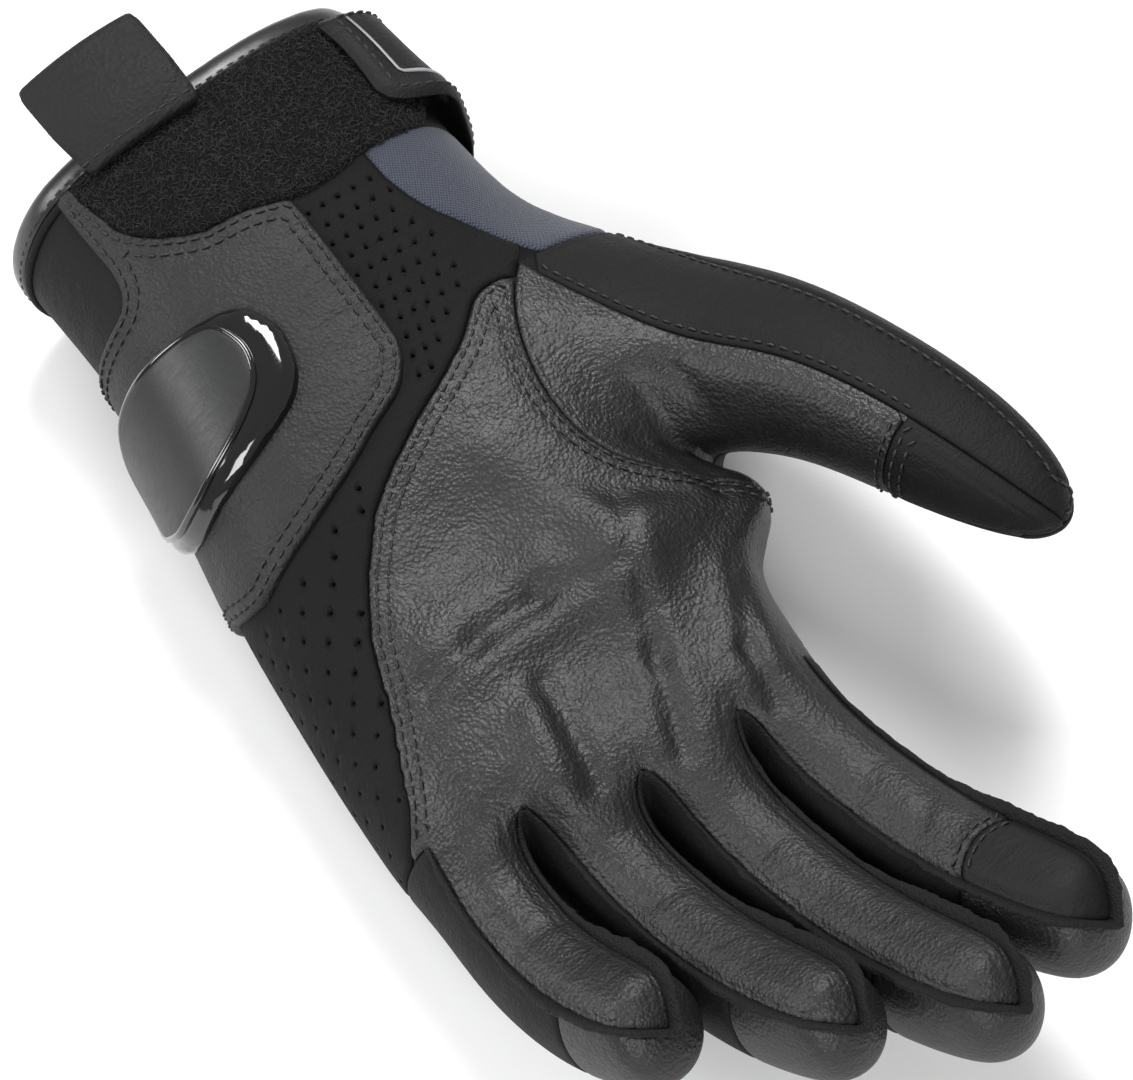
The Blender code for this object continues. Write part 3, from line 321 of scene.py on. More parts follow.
def hand_rings(cage):
    """Palm line, back line, little finger edge and thumb edge of every section."""
    palm, back, outer, inner = [], [], [], []
    last = len(SECTIONS) - 1
    skewed = [s.along for s in SECTIONS[:3]]
    for j, s in enumerate(SECTIONS):
        y = s.along * HAND_LENGTH
        middle = s.centre * PALM_WIDTH
        half = s.width * PALM_WIDTH / 2 * swell(20)
        bottom, top = s.bottom * HAND_DEPTH, s.top * HAND_DEPTH
        level = (bottom + top) / 2
        rise = (top - bottom) / 2 * swell(20)
        power = 2.3 + 0.5 * s.along
        skew = RIM_SKEW * (1 - j / len(skewed)) if j < len(skewed) else 0.0
        upper, lower = [], []
        for i, share in enumerate(ACROSS):
            x = middle + share * half
            along = y
            if j == last:
                along = ROOT_ALONG[i] * HAND_LENGTH
            elif j == last - 1:
                along = y + (ROOT_ALONG[i] - 1) * HAND_LENGTH / 2
            along += min(0.0, x - middle) * skew
            height = rise * oval(share, power)
            upper.append(np.array([x, along, level + height]))
            lower.append(np.array([x, along, level - height]))
        if THUMB_FIRST <= j <= THUMB_LAST:
            above = place(GUSSET_SEAM[j - THUMB_FIRST])
            below = place(THUMB_BACK_SEAM[j - THUMB_FIRST])
            upper = bend_to(upper, above, middle, half, level, rise, power)
            lower = bend_to(lower, below, middle, half, level, -rise, power)
        palm.append([cage.add(p) for p in upper])
        back.append([cage.add(p) for p in lower])
        outer.append(cage.add((middle + half, upper[-1][1], level)))
        inner.append(thumb_edge(cage, j, (middle - half, upper[0][1], level)))
    return palm, back, outer, inner


def bend_to(line, corner, middle, half, level, rise, power):
    """Draw a section's line in towards a seam corner, leaving its far end in place."""
    far = line[-1][0]
    own = level + rise * oval((corner[0] - middle) / half, power)
    bent = []
    for i, point in enumerate(line):
        t = i / (len(line) - 1)
        x = corner[0] + (far - corner[0]) * t
        y = corner[1] + (point[1] - corner[1]) * min(1.0, 2 * t)
        z = level + rise * oval((x - middle) / half, power) + (corner[2] - own) * (1 - t) ** 2
        bent.append(np.array([x, y, z]))
    return bent


def thumb_edge(cage, j, point):
    if j == THUMB_FIRST:
        return cage.add(place(THUMB_HEEL))
    if j == THUMB_LAST:
        return cage.add(place(CROTCH))
    if THUMB_FIRST < j < THUMB_LAST:
        return None
    return cage.add(point)


def hand_faces(cage, palm, back, outer, inner):
    for j in range(len(SECTIONS) - 1):
        cuff = j < CUFF_LAST
        wrist = CUFF_LAST <= j < THUMB_FIRST
        above, below = palm[j + 1], back[j + 1]
        for i in range(len(ACROSS) - 1):
            upper = (palm[j][i], palm[j][i + 1], above[i + 1], above[i])
            lower = (back[j][i + 1], back[j][i], below[i], below[i + 1])
            cage.face(upper, CUFF if cuff else PALM_SIDE)
            cage.face(lower, CUFF if cuff else BACK_SIDE)
        cage.face((palm[j][-1], outer[j], outer[j + 1], palm[j + 1][-1]), CUFF if cuff else ULNAR_UPPER)
        cage.face((outer[j], back[j][-1], back[j + 1][-1], outer[j + 1]), CUFF if cuff else ULNAR_LOWER)
        if not THUMB_FIRST <= j < THUMB_LAST:
            low = CUFF if cuff else STRETCH_LOWER if wrist else RADIAL_LOWER
            high = CUFF if cuff else STRETCH_UPPER if wrist else RADIAL_UPPER
            cage.face((back[j][0], inner[j], inner[j + 1], back[j + 1][0]), low)
            cage.face((inner[j], palm[j][0], palm[j + 1][0], inner[j + 1]), high)


def finger_spine(finger, base):
    """Points and directions along a finger, bent in yaw and curl."""
    steps = 60
    points = [base]
    ways = []
    for q in range(steps + 1):
        t = q / steps
        ease = t * t * (3 - 2 * t)
        yaw = math.radians(finger.yaw_root + (finger.yaw_tip - finger.yaw_root) * t)
        curl = math.radians(finger.curl_root + (finger.curl_tip - finger.curl_root) * ease)
        way = np.array([math.sin(yaw) * math.cos(curl), math.cos(yaw) * math.cos(curl), math.sin(curl)])
        ways.append(way)
        points.append(points[-1] + way * finger.length * FINGER_LENGTH / steps)
    return points, ways


def frame_across(way):
    """Unit vectors to the right of a direction and up from it."""
    side = np.cross(way, [0.0, 0.0, 1.0])
    side /= np.linalg.norm(side)
    return side, np.cross(side, way)


def add_finger(cage, number, root):
    finger = FINGERS[number]
    base = np.mean([cage.points[i] for i in root], axis=0)
    points, ways = finger_spine(finger, base)
    pitch = (ACROSS[6] - ACROSS[2]) / 4 * PALM_WIDTH * SECTIONS[-1].width
    half_width = (pitch * finger.width - FINGER_GAP) / 2 * swell(8)
    half_depth = FINGER_DEPTH * finger.depth / 2 * swell(8)
    ring = root
    for r, row in enumerate(FINGER_RINGS):
        q = int(round(row.along * (len(points) - 2)))
        side, up = frame_across(ways[q])
        following = []
        for k, (a, b) in enumerate(FINGER_PROFILE):
            point = points[q] + side * half_width * row.width * a + up * half_depth * row.depth * b
            if number == 0 and r == PAD_FROM - 1 and k == 1:
                point = point - ways[q] * PAD_ARC * FINGER_LENGTH
            following.append(cage.add(point))
        capped = r >= CAP_FROM
        top = PAD if number == 0 and r >= PAD_FROM else FINGER_PALM
        ulnar = CAP + number if capped else SIDE_ULNAR + number
        radial = CAP + number if capped else SIDE_RADIAL + number
        under = CAP + number if capped else FINGER_BACK
        cage.bridge(ring, following, [top, top, ulnar, ulnar, under, under, radial, radial])
        ring = following
    tip = cage.add(points[-2])
    for k in (1, 3, 5, 7):
        tag = CAP + number if k > 1 else PAD if number == 0 else FINGER_PALM
        cage.face((ring[k - 1], ring[k], ring[(k + 1) % 8], tip), tag)


def add_thumb(cage, palm, back, inner):
    span = range(THUMB_FIRST, THUMB_LAST + 1)
    ring = [palm[j][0] for j in span] + [inner[THUMB_LAST]] + [back[j][0] for j in reversed(span)]
    ring.append(inner[THUMB_FIRST])
    root = place(THUMB_ROOT)
    centres = [root + np.array([r.side, r.forward, r.rise]) * THUMB_LENGTH for r in THUMB_RINGS]
    for k, row in enumerate(THUMB_RINGS):
        way = centres[min(k + 1, len(centres) - 1)] - centres[max(k - 1, 0)]
        side, up = frame_across(way / np.linalg.norm(way))
        following = []
        for degrees in THUMB_ANGLES:
            turn = math.radians(degrees)
            across = side * row.width * math.sin(turn) + up * row.depth * math.cos(turn)
            following.append(cage.add(centres[k] + across * THUMB_WIDTH / 2 * swell(12)))
        inner_tag = THUMB_PATCH if k > THUMB_PATCH_FROM else THUMB_INNER
        cage.bridge(ring, following, [inner_tag] * 5 + [THUMB_BACK] * 6 + [THUMB_OUTER])
        ring = following
    way = centres[-1] - centres[-2]
    tip = cage.add(centres[-1] + way / np.linalg.norm(way) * THUMB_TIP_REACH * THUMB_LENGTH)
    for k in range(1, 12, 2):
        tag = THUMB_PATCH if k < 5 else THUMB_BACK if k < 11 else THUMB_OUTER
        cage.face((ring[k - 1], ring[k], ring[(k + 1) % 12], tip), tag)


def build_cage():
    cage = Cage()
    palm, back, outer, inner = hand_rings(cage)
    hand_faces(cage, palm, back, outer, inner)
    webs = {0: inner[-1], 8: outer[-1]}
    for k in (2, 4, 6):
        webs[k] = cage.add((cage.points[palm[-1][k]] + cage.points[back[-1][k]]) / 2)
    for number in range(len(FINGERS)):
        k = 2 * number
        above = [palm[-1][k], palm[-1][k + 1], palm[-1][k + 2]]
        below = [back[-1][k + 2], back[-1][k + 1], back[-1][k]]
        add_finger(cage, number, above + [webs[k + 2]] + below + [webs[k]])
    add_thumb(cage, palm, back, inner)
    return cage


Shell = namedtuple("Shell", "points faces tags normals")


def smooth_shell(levels):
    """The smoothed shell, dented by the folds and flattened where it rests on the floor."""
    cage = build_cage()
    mesh = bpy.data.meshes.new("cage")
    mesh.from_pydata([tuple(p) for p in cage.points], [], cage.faces)
    for _ in range(TAG_COUNT):
        mesh.materials.append(None)
    mesh.polygons.foreach_set("material_index", cage.tags)
    guide = bpy.data.objects.new("cage", mesh)
    bpy.context.scene.collection.objects.link(guide)
    smoothing = guide.modifiers.new("smooth", "SUBSURF")
    smoothing.levels = levels
    smoothing.render_levels = levels
    result = guide.evaluated_get(bpy.context.evaluated_depsgraph_get()).to_mesh()
    points = np.array([v.co[:] for v in result.vertices])
    faces = [tuple(p.vertices) for p in result.polygons]
    tags = np.array([p.material_index for p in result.polygons])
    bpy.data.objects.remove(guide, do_unlink=True)
    points = fold(points, vertex_normals(points, faces))
    points[:, 2] = np.maximum(points[:, 2], 0.0)
    normals = vertex_normals(points, faces)
    halved = [corners for a, b, c, d in faces for corners in ((a, b, c), (a, c, d))]
    return Shell(points, halved, np.repeat(tags, 2), normals)


def vertex_normals(points, faces):
    quads = np.array(faces)
    across = points[quads[:, 2]] - points[quads[:, 0]]
    along = points[quads[:, 3]] - points[quads[:, 1]]
    areas = np.cross(across, along)
    normals = np.zeros_like(points)
    for k in range(4):
        np.add.at(normals, quads[:, k], areas)
    return normals / np.linalg.norm(normals, axis=1)[:, None]


def fold(points, normals):
    """Move palm-side points out or in along each soft fold."""
    shift = np.zeros(len(points))
    flat = points[:, :2]
    facing = np.clip(normals[:, 2], 0.0, 1.0)
    for row in FOLDS:
        start = np.array([row.start_side * PALM_WIDTH, row.start_along * HAND_LENGTH])
        end = np.array([row.end_side * PALM_WIDTH, row.end_along * HAND_LENGTH])
        way = end - start
        t = np.clip((flat - start) @ way / (way @ way), 0.0, 1.0)
        distance = np.linalg.norm(flat - start - t[:, None] * way, axis=1)
        spread = row.spread * PALM_WIDTH
        shift += row.height * HAND_DEPTH * np.exp(-(distance / spread) ** 2)
    return points + normals * (shift * facing)[:, None]


def wrap_axis():
    return WRAP_CENTRE[0] * PALM_WIDTH, WRAP_CENTRE[1] * HAND_DEPTH


def wrap_turn(point):
    x, z = wrap_axis()
    return math.degrees(math.atan2(point[0] - x, point[2] - z))


class Surface:
    """The shell as seen from its wrap axis, read by turn and distance along."""

    def __init__(self, shell):
        self.tree = BVHTree.FromPolygons([Vector(p) for p in shell.points], shell.faces)
        self.rim = SECTIONS[0].along * HAND_LENGTH

    def ray(self, turn):
        angle = math.radians(turn)
        return Vector((math.sin(angle), 0.0, math.cos(angle)))

    def at(self, turn, y, height=0.0):
        """A point on the shell, raised along the ray; before the rim it repeats the rim's form."""
        x, z = wrap_axis()
        way = self.ray(turn)
        edge = self.rim + RIM_SKEW * min(0.0, way.x) * PALM_WIDTH / 2 + 0.0015
        start = Vector((x, max(y, edge), z))
        hit = self.tree.ray_cast(start, way)[0]
        if hit is None:
            hit = start + way * HAND_DEPTH / 2
        return Vector((hit.x, y, hit.z)) + way * height


def smooth_path(rows, closed, spacing=0.0015):
    """Wrap rows as an even, rounded path of (turn, y)."""
    knots = [np.array([r.turn, r.along * HAND_LENGTH]) for r in rows]
    count = len(knots)
    radius = HAND_DEPTH * 0.7
    path = []
    spans = count if closed else count - 1
    for k in range(spans):
        p0 = knots[(k - 1) % count] if closed or k else 2 * knots[0] - knots[1]
        p1, p2 = knots[k], knots[(k + 1) % count]
        p3 = knots[(k + 2) % count] if closed or k + 2 < count else 2 * p2 - p1
        length = math.hypot(math.radians(p2[0] - p1[0]) * radius, p2[1] - p1[1])
        steps = max(1, round(length / spacing))
        for q in range(steps):
            t = q / steps
            bend = (-0.3 * t + 0.6 * t * t - 0.3 * t ** 3) * p0 + (0.3 * t * t * (t - 1)) * p3
            near = 1 - 2.7 * t * t + 1.7 * t ** 3
            far = 0.3 * t + 2.4 * t * t - 1.7 * t ** 3
            path.append(bend + near * p1 + far * p2)
    if not closed:
        path.append(knots[-1])
    return path


def outward(thing):
    work = bmesh.new()
    work.from_mesh(thing.data)
    bmesh.ops.recalc_face_normals(work, faces=work.faces)
    if work.calc_volume(signed=True) < 0:
        bmesh.ops.reverse_faces(work, faces=work.faces)
    work.to_mesh(thing.data)
    work.free()


def cut(thing, cutter):
    """Subtract the cutter from a piece and drop the cutter."""
    change = thing.modifiers.new("cut", "BOOLEAN")
    change.operation = "DIFFERENCE"
    change.object = cutter
    result = thing.evaluated_get(bpy.context.evaluated_depsgraph_get())
    cleaned = bpy.data.meshes.new_from_object(result)
    thing.modifiers.clear()
    thing.data = cleaned
    bpy.data.objects.remove(cutter, do_unlink=True)


def faces_with(shell, *tags):
    return [f for f, tag in enumerate(shell.tags) if tag in tags]


def seam_side(points, rows, closed):
    """Signed distance of each point from a seam: positive on its left, or inside a closed one."""
    path = np.array(smooth_path(rows, closed))
    radius = HAND_DEPTH * 0.7
    path[:, 0] = np.radians(path[:, 0]) * radius
    spots = np.array([(math.radians(wrap_turn(p)) * radius, p[1]) for p in points])
    following = np.roll(path, -1, axis=0)
    flip = 1.0
    if closed:
        area = np.sum(path[:, 0] * following[:, 1] - path[:, 1] * following[:, 0])
        flip = np.sign(area)
    else:
        path, following = path[:-1], following[:-1]
    nearest = np.full(len(points), np.inf)
    side = np.ones(len(points))
    for start, end in zip(path, following):
        way = end - start
        apart = spots - start
        t = np.clip(apart @ way / (way @ way), 0.0, 1.0)
        distance = np.linalg.norm(apart - t[:, None] * way, axis=1)
        closer = distance < nearest
        nearest[closer] = distance[closer]
        turn = way[0] * apart[:, 1] - way[1] * apart[:, 0]
        side[closer] = np.sign(turn[closer])
    return nearest * side * flip


def split_along(shell, rows, tags, new_tag, closed=False):
    """Cut the faces that have one of the tags along a seam and retag those on its right."""
    side = seam_side(shell.points, rows, closed)
    points, normals = list(shell.points), list(shell.normals)
    side = list(side)
    cuts = {}

    def crossing(a, b):
        key = (min(a, b), max(a, b))
        if key not in cuts:
            t = side[key[0]] / (side[key[0]] - side[key[1]])
            points.append(points[key[0]] * (1 - t) + points[key[1]] * t)
            normals.append(normals[key[0]] * (1 - t) + normals[key[1]] * t)
            side.append(0.0)
            cuts[key] = len(points) - 1
        return cuts[key]

    snap = SEAM_SNAP
    concerned = {v for ring, tag in zip(shell.faces, shell.tags) if tag in tags for v in ring}
    for v in concerned:
        if abs(side[v]) < snap:
            side[v] = 0.0
    faces, out_tags = [], []
    for ring, tag in zip(shell.faces, shell.tags):
        signs = [side[v] for v in ring]
        crossed = min(signs) < 0 < max(signs)
        if not crossed:
            faces.append(ring)
            out_tags.append(new_tag if tag in tags and max(signs) <= 0 else tag)
            continue
        if tag not in tags:
            faces.append(ring)
            out_tags.append(tag)
            continue
        left, right = [], []
        for a, b in zip(ring, ring[1:] + ring[:1]):
            if side[a] >= 0:
                left.append(a)
            if side[a] <= 0:
                right.append(a)
            if side[a] * side[b] < 0:
                middle = crossing(a, b)
                left.append(middle)
                right.append(middle)
        faces.extend((tuple(left), tuple(right)))
        out_tags.extend((tag, new_tag))
    return Shell(np.array(points), faces, np.array(out_tags), np.array(normals))


def fans(ring_list, tags):
    """Cut faces of any size into triangles."""
    out, out_tags = [], []
    for ring, tag in zip(ring_list, tags):
        for k in range(1, len(ring) - 1):
            out.append((ring[0], ring[k], ring[k + 1]))
            out_tags.append(tag)
    return out, np.array(out_tags)


def triangles_of(shell):
    faces, tags = fans(shell.faces, shell.tags)
    return Shell(shell.points, faces, tags, shell.normals)


class Border:
    """Close samples along the edge of a region, each with the tag of the face across."""

    def __init__(self, shell, chosen, owners):
        directed = {}
        for f in chosen:
            ring = shell.faces[f]
            for a, b in zip(ring, ring[1:] + ring[:1]):
                directed[(a, b)] = f
        self.edges = [(a, b) for (a, b) in directed if (b, a) not in directed]
        spots, across = [], []
        for a, b in self.edges:
            start, end = shell.points[a], shell.points[b]
            other = owners.get((b, a))
            tag = -1 if other is None else int(shell.tags[other])
            steps = max(1, int(np.linalg.norm(end - start) / 0.0005))
            for q in range(steps):
                spots.append(start + (end - start) * q / steps)
                across.append(tag)
        self.tree = KDTree(len(spots))
        for k, spot in enumerate(spots):
            self.tree.insert(spot, k)
        self.tree.balance()
        self.across = across

    def near(self, point):
        """Distance to the edge and the tag across it."""
        spot, k, distance = self.tree.find(point)
        return distance, self.across[k]


def owners_of(shell):
    owners = {}
    for f, ring in enumerate(shell.faces):
        for a, b in zip(ring, ring[1:] + ring[:1]):
            owners[(a, b)] = f
    return owners


def cut_at(points, normals, faces, depth, level):
    """Split the triangles that a level of the depth field crosses."""
    found = {}

    def crossing(a, b):
        key = (min(a, b), max(a, b))
        if key not in found:
            t = (level - depth[key[0]]) / (depth[key[1]] - depth[key[0]])
            points.append(points[key[0]] * (1 - t) + points[key[1]] * t)
            normals.append(normals[key[0]] * (1 - t) + normals[key[1]] * t)
            depth.append(level)
            found[key] = len(points) - 1
        return found[key]

    snap = 0.00012
    for v, value in enumerate(depth):
        if value > 0 and abs(value - level) < snap:
            depth[v] = level
    out = []
    for ring in faces:
        values = [depth[v] - level for v in ring]
        if not min(values) < 0 < max(values):
            out.append(ring)
            continue
        for sign in (1, -1):
            part = []
            for k in range(3):
                a, b = ring[k], ring[(k + 1) % 3]
                if values[k] * sign >= 0:
                    part.append(a)
                if values[k] * values[(k + 1) % 3] < 0:
                    part.append(crossing(a, b))
            for k in range(1, len(part) - 1):
                out.append((part[0], part[k], part[k + 1]))
    return out


def level_lines(faces, depth, level):
    """Runs of vertices that lie on one level of the depth field."""
    links = {}
    for ring in faces:
        for k in range(3):
            a, b = ring[k], ring[(k + 1) % 3]
            if depth[a] == level and depth[b] == level:
                links.setdefault(a, set()).add(b)
                links.setdefault(b, set()).add(a)
    lines = []
    seen = set()
    starts = sorted(links, key=lambda v: (len(links[v]) == 2, v))
    for start in starts:
        if start in seen:
            continue
        line = [start]
        seen.add(start)
        while True:
            onward = [v for v in sorted(links[line[-1]]) if v not in seen]
            if not onward:
                break
            line.append(onward[0])
            seen.add(onward[0])
        if len(line) > 1 and line[0] in links[line[-1]] and len(line) > 8:
            line.append(line[0])
        if len(line) > 3:
            lines.append(line)
    return lines


STITCHES = []


def sew(points, normals, tags_near, wanted, height, pitch=STITCH_PITCH):
    """Note the places of stitches along a line on the leather."""
    steps = np.linalg.norm(np.diff(points, axis=0), axis=1)
    run = np.concatenate([[0.0], np.cumsum(steps)])
    if run[-1] < 2 * pitch:
        return
    places = np.arange(pitch / 2, run[-1], pitch)
    spots = np.array([np.interp(places, run, points[:, k]) for k in range(3)]).T
    ways = np.array([np.interp(places, run, normals[:, k]) for k in range(3)]).T
    nearest = np.clip(np.searchsorted(run, places), 0, len(tags_near) - 1)
    ahead = np.gradient(spots, axis=0) if len(spots) > 1 else np.zeros_like(spots)
    for k in range(len(places)):
        if wanted is not None and tags_near[nearest[k]] not in wanted:
            continue
        size = np.linalg.norm(ahead[k])
        if size < 1e-6 or size > pitch * 1.6:
            continue
        normal = ways[k] / np.linalg.norm(ways[k])
        STITCHES.append((spots[k] + normal * height, ahead[k] / size, normal))


def stitch_mesh(name, length=0.0021, radius=0.00030):
    """All stitches as one piece: a short rounded thread at each place."""
    ring = 6
    stations = [
        (-0.5, 0.35, -0.6), (-0.34, 0.9, 0.15), (0.0, 1.0, 0.35), (0.34, 0.9, 0.15), (0.5, 0.35, -0.6),
    ]
    vertices, faces = [], []
    for spot, ahead, normal in STITCHES:
        side = np.cross(normal, ahead)
        first = len(vertices)
        for along, size, rise in stations:
            centre = spot + ahead * along * length + normal * rise * radius
            for k in range(ring):
                angle = 2 * math.pi * k / ring
                spoke = side * math.cos(angle) + normal * math.sin(angle)
                vertices.append(centre + spoke * radius * size)
        count = len(stations)
        for s in range(count - 1):
            for k in range(ring):
                n = (k + 1) % ring
                a = first + s * ring
                faces.append((a + k, a + n, a + ring + n, a + ring + k))
        faces.append([first + k for k in reversed(range(ring))])
        faces.append([first + (count - 1) * ring + k for k in range(ring)])
    return make(name, vertices, faces, ["thread"])


def make(name, vertices, faces, finishes, picks=None):
    """A shown piece in the frame of the part, with one or more finishes."""
    mesh = bpy.data.meshes.new(name)
    mesh.from_pydata([tuple(np.array(v) + SHIFT) for v in vertices], [], [tuple(f) for f in faces])
    for finish in finishes:
        mesh.materials.append(material(finish))
    if picks is not None:
        mesh.polygons.foreach_set("material_index", picks)
    mesh.shade_smooth()
    mesh.validate()
    mesh.update()
    thing = bpy.data.objects.new(name, mesh)
    bpy.context.scene.collection.objects.link(thing)
    return thing


def note_depth(thing, values, limit=0.012):
    """Keep each vertex's distance from the seam for the materials; the leathers paint shade near their seams
    from it.
    """
    held = thing.data.attributes.new("edge", "FLOAT", "POINT")
    held.data.foreach_set("value", np.minimum(values, limit).astype(np.float32))


def note_wrap(thing):
    """A UV map in metres round the hand and along it."""
    mesh = thing.data
    layer = mesh.uv_layers.new(name="wrap")
    radius = HAND_DEPTH * 0.7
    spots = np.empty(len(mesh.vertices) * 3)
    mesh.vertices.foreach_get("co", spots)
    spots = spots.reshape(-1, 3) - SHIFT
    x, z = wrap_axis()
    turns = np.arctan2(spots[:, 0] - x, spots[:, 2] - z)
    corners = np.empty(len(mesh.loops), dtype=np.int64)
    mesh.loops.foreach_get("vertex_index", corners)
    uv = np.zeros((len(corners), 2))
    uv[:, 0] = turns[corners]
    uv[:, 1] = spots[corners, 1]
    for face in mesh.polygons:
        run = slice(face.loop_start, face.loop_start + face.loop_total)
        values = uv[run, 0]
        if values.max() - values.min() > math.pi:
            uv[run, 0] = np.where(values < 0, values + 2 * math.pi, values)
    uv[:, 0] *= radius
    layer.data.foreach_set("uv", uv.ravel())


Seam = namedtuple("Seam", "distances across height")


def dress(name, shell, owners, chosen, finish, low, high, roll, drop, seams=(), inside="lining"):
    """A wall over a region with rolled edges, and its stitch rows.

    Roll is how wide the rounded edge is and drop how far it falls at the seam.
    """
    border = Border(shell, chosen, owners)
    used = sorted({v for f in chosen for v in shell.faces[f]})
    index = {v: k for k, v in enumerate(used)}
    points = [shell.points[v] for v in used]
    normals = [shell.normals[v] for v in used]
    faces = [tuple(index[v] for v in shell.faces[f]) for f in chosen]
    rim = {index[v] for edge in border.edges for v in edge}
    depth = [0.0 if k in rim else border.near(p)[0] for k, p in enumerate(points)]
    rows = sorted({d for seam in seams for d in seam.distances})
    levels = sorted({round(roll * s, 6) for s in (0.15, 0.45, 1.0)} | set(rows))
    for level in levels:
        faces = cut_at(points, normals, faces, depth, level)
    spots = np.array(points)
    ways = np.array(normals)
    ways /= np.linalg.norm(ways, axis=1)[:, None]
    field = np.array(depth)
    share = np.clip(1 - field / roll, 0, 1)
    top = high - drop * (1 - np.sqrt(1 - share ** 2 * 0.999))
    for row in rows:
        top = top - STITCH_DENT * np.exp(-((field - row) / 0.0006) ** 2)
    for seam in seams:
        for distance in seam.distances:
            for line in level_lines(faces, depth, distance):
                near = [border.near(points[v])[1] for v in line]
                sew(spots[line], ways[line], near, seam.across, high + seam.height)
    outer = spots + ways * top[:, None]
    outer[:, 2] = np.maximum(outer[:, 2], 0.0)
    under = spots + ways * low
    count = len(spots)
    directed = {}
    for ring in faces:
        for k in range(3):
            directed[(ring[k], ring[(k + 1) % 3])] = True
    sides = [(b, a, count + a, count + b) for a, b in directed if (b, a) not in directed]
    all_faces = faces + [tuple(count + v for v in reversed(ring)) for ring in faces] + sides
    picks = [0] * len(faces) + [1] * len(faces) + [0] * len(sides)
    thing = make(name, np.vstack([outer, under]), all_faces, [finish, inside], picks)
    note_depth(thing, np.concatenate([field, field]))
    note_wrap(thing)
    thing.data.set_sharp_from_angle(angle=math.radians(60))
    return thing


def place_on(thing, *nodes, slot):
    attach(thing, "root")
    if nodes:
        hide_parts(*nodes)
    return thing


def build_panels(shell):
    """Every wall of the hand, cut from one smooth shell along its seams."""
    low = (PALM_SIDE, ULNAR_UPPER, ULNAR_LOWER, STRETCH_UPPER)
    parted = triangles_of(split_along(shell, PALM_SEAM, low, PERFORATED))
    parted = triangles_of(split_along(parted, STRETCH_SEAM[::-1], (PERFORATED,), STRETCH_UPPER))
    owners = owners_of(parted)
    wall = -LEATHER_THICKNESS
    plain = {"low": wall, "high": 0.0, "roll": EDGE_ROLL, "drop": EDGE_DROP}
    double = (0.0017, 0.0040)
    palm_tags = (PALM_SIDE, ULNAR_UPPER, ULNAR_LOWER, RADIAL_UPPER, FINGER_PALM)
    palm = faces_with(parted, *palm_tags)
    seams = [Seam(double, (PERFORATED, THUMB_INNER, STRETCH_UPPER), 0.0), Seam((0.0017,), (PAD,), 0.0)]
    piece = dress("palm_panel_leather", parted, owners, palm, "palm_leather", seams=seams, **plain)
    place_on(piece, "palm_panel", slot="palm_leather")
    bare = faces_with(parted, PERFORATED)
    side = dress("perforated_leather", parted, owners, bare, "perforated", **plain)
    place_on(side, "perforated_panel", slot="matte_leather")
    single, twice = (0.0017,), double
    back = (BACK_SIDE, FINGER_BACK, RADIAL_LOWER, STRETCH_LOWER)
    outer_seam = Seam(single, (THUMB_INNER, PALM_SIDE, THUMB_BACK), 0.0)
    matte, glossy, fabric = "matte_leather", "palm_leather", "stretch_fabric"
    # The piece, its tags, its finish, the solid that it stands for, the slot and its stitch rows
    plans = [
        ("wrist_stretch_fabric", (STRETCH_UPPER,), fabric, "wrist_stretch_panel", fabric, ()),
        ("back_fabric", back, fabric, "back_panel", fabric, ()),
        ("cuff_leather", (CUFF,), matte, "cuff_panel", matte, ()),
        ("index_side_leather", (SIDE_RADIAL,), matte, "index_side_panel", matte, ()),
        ("little_side_leather", (SIDE_ULNAR + 3,), matte, "little_side_panel", matte, ()),
        ("thumb_gusset_leather", (THUMB_INNER,), glossy, "thumb_gusset", glossy,
         (Seam(single, (THUMB_PATCH,), 0.0),)),
        ("thumb_patch_leather", (THUMB_PATCH,), matte, "thumb_tip_patch", glossy,
         (Seam(twice, (THUMB_INNER,), 0.0),)),
        ("thumb_outer_leather", (THUMB_OUTER,), matte, "thumb_outer_panel", matte, (outer_seam,)),
        ("thumb_back_leather", (THUMB_BACK,), matte, "thumb_back_panel", matte, ()),
        ("index_pad_leather", (PAD,), "pad_leather", "index_touch_pad", matte,
         (Seam(single, (FINGER_PALM,), 0.0),)),
    ]
    for k in range(3):
        name = "fourchette_%s_%s" % (FINGERS[k].name, FINGERS[k + 1].name)
        tags = (SIDE_ULNAR + k, SIDE_RADIAL + k + 1)
        plans.append((name + "_leather", tags, matte, name, matte, ()))
    for k, finger in enumerate(FINGERS):
        node = "fingertip_cap_" + finger.name
        plans.append((finger.name + "_cap_leather", (CAP + k,), glossy, node, glossy, ()))
    for name, tags, finish, node, slot, rows in plans:
        piece = dress(name, parted, owners, faces_with(parted, *tags), finish, seams=rows, **plain)
        place_on(piece, node, slot=slot)
    build_flanges(parted, owners)
    return parted


def build_flanges(shell, owners):
    """The raw leather edges along each finger's palm side, standing highest round its tip."""
    for number, finger in enumerate(FINGERS):
        beside = (SIDE_ULNAR + number, SIDE_RADIAL + number, CAP + number)
        links = {}
        tip = set()
        for (a, b), f in owners.items():
            other = owners.get((b, a))
            if other is None or shell.tags[f] not in (FINGER_PALM, PAD):
                continue
            if shell.tags[other] not in beside:
                continue
            links.setdefault(a, set()).add(b)
            links.setdefault(b, set()).add(a)
            if shell.tags[other] == CAP + number:
                tip.update((a, b))
        ends = sorted(v for v in links if len(links[v]) == 1)
        line = [ends[0]]
        while True:
            onward = [v for v in sorted(links[line[-1]]) if v not in line[-3:]]
            if not onward:
                break
            line.append(onward[0])
        at_tip = [v in tip for v in line]
        flange(finger.name + "_flange", shell.points[line], shell.normals[line], at_tip, number)


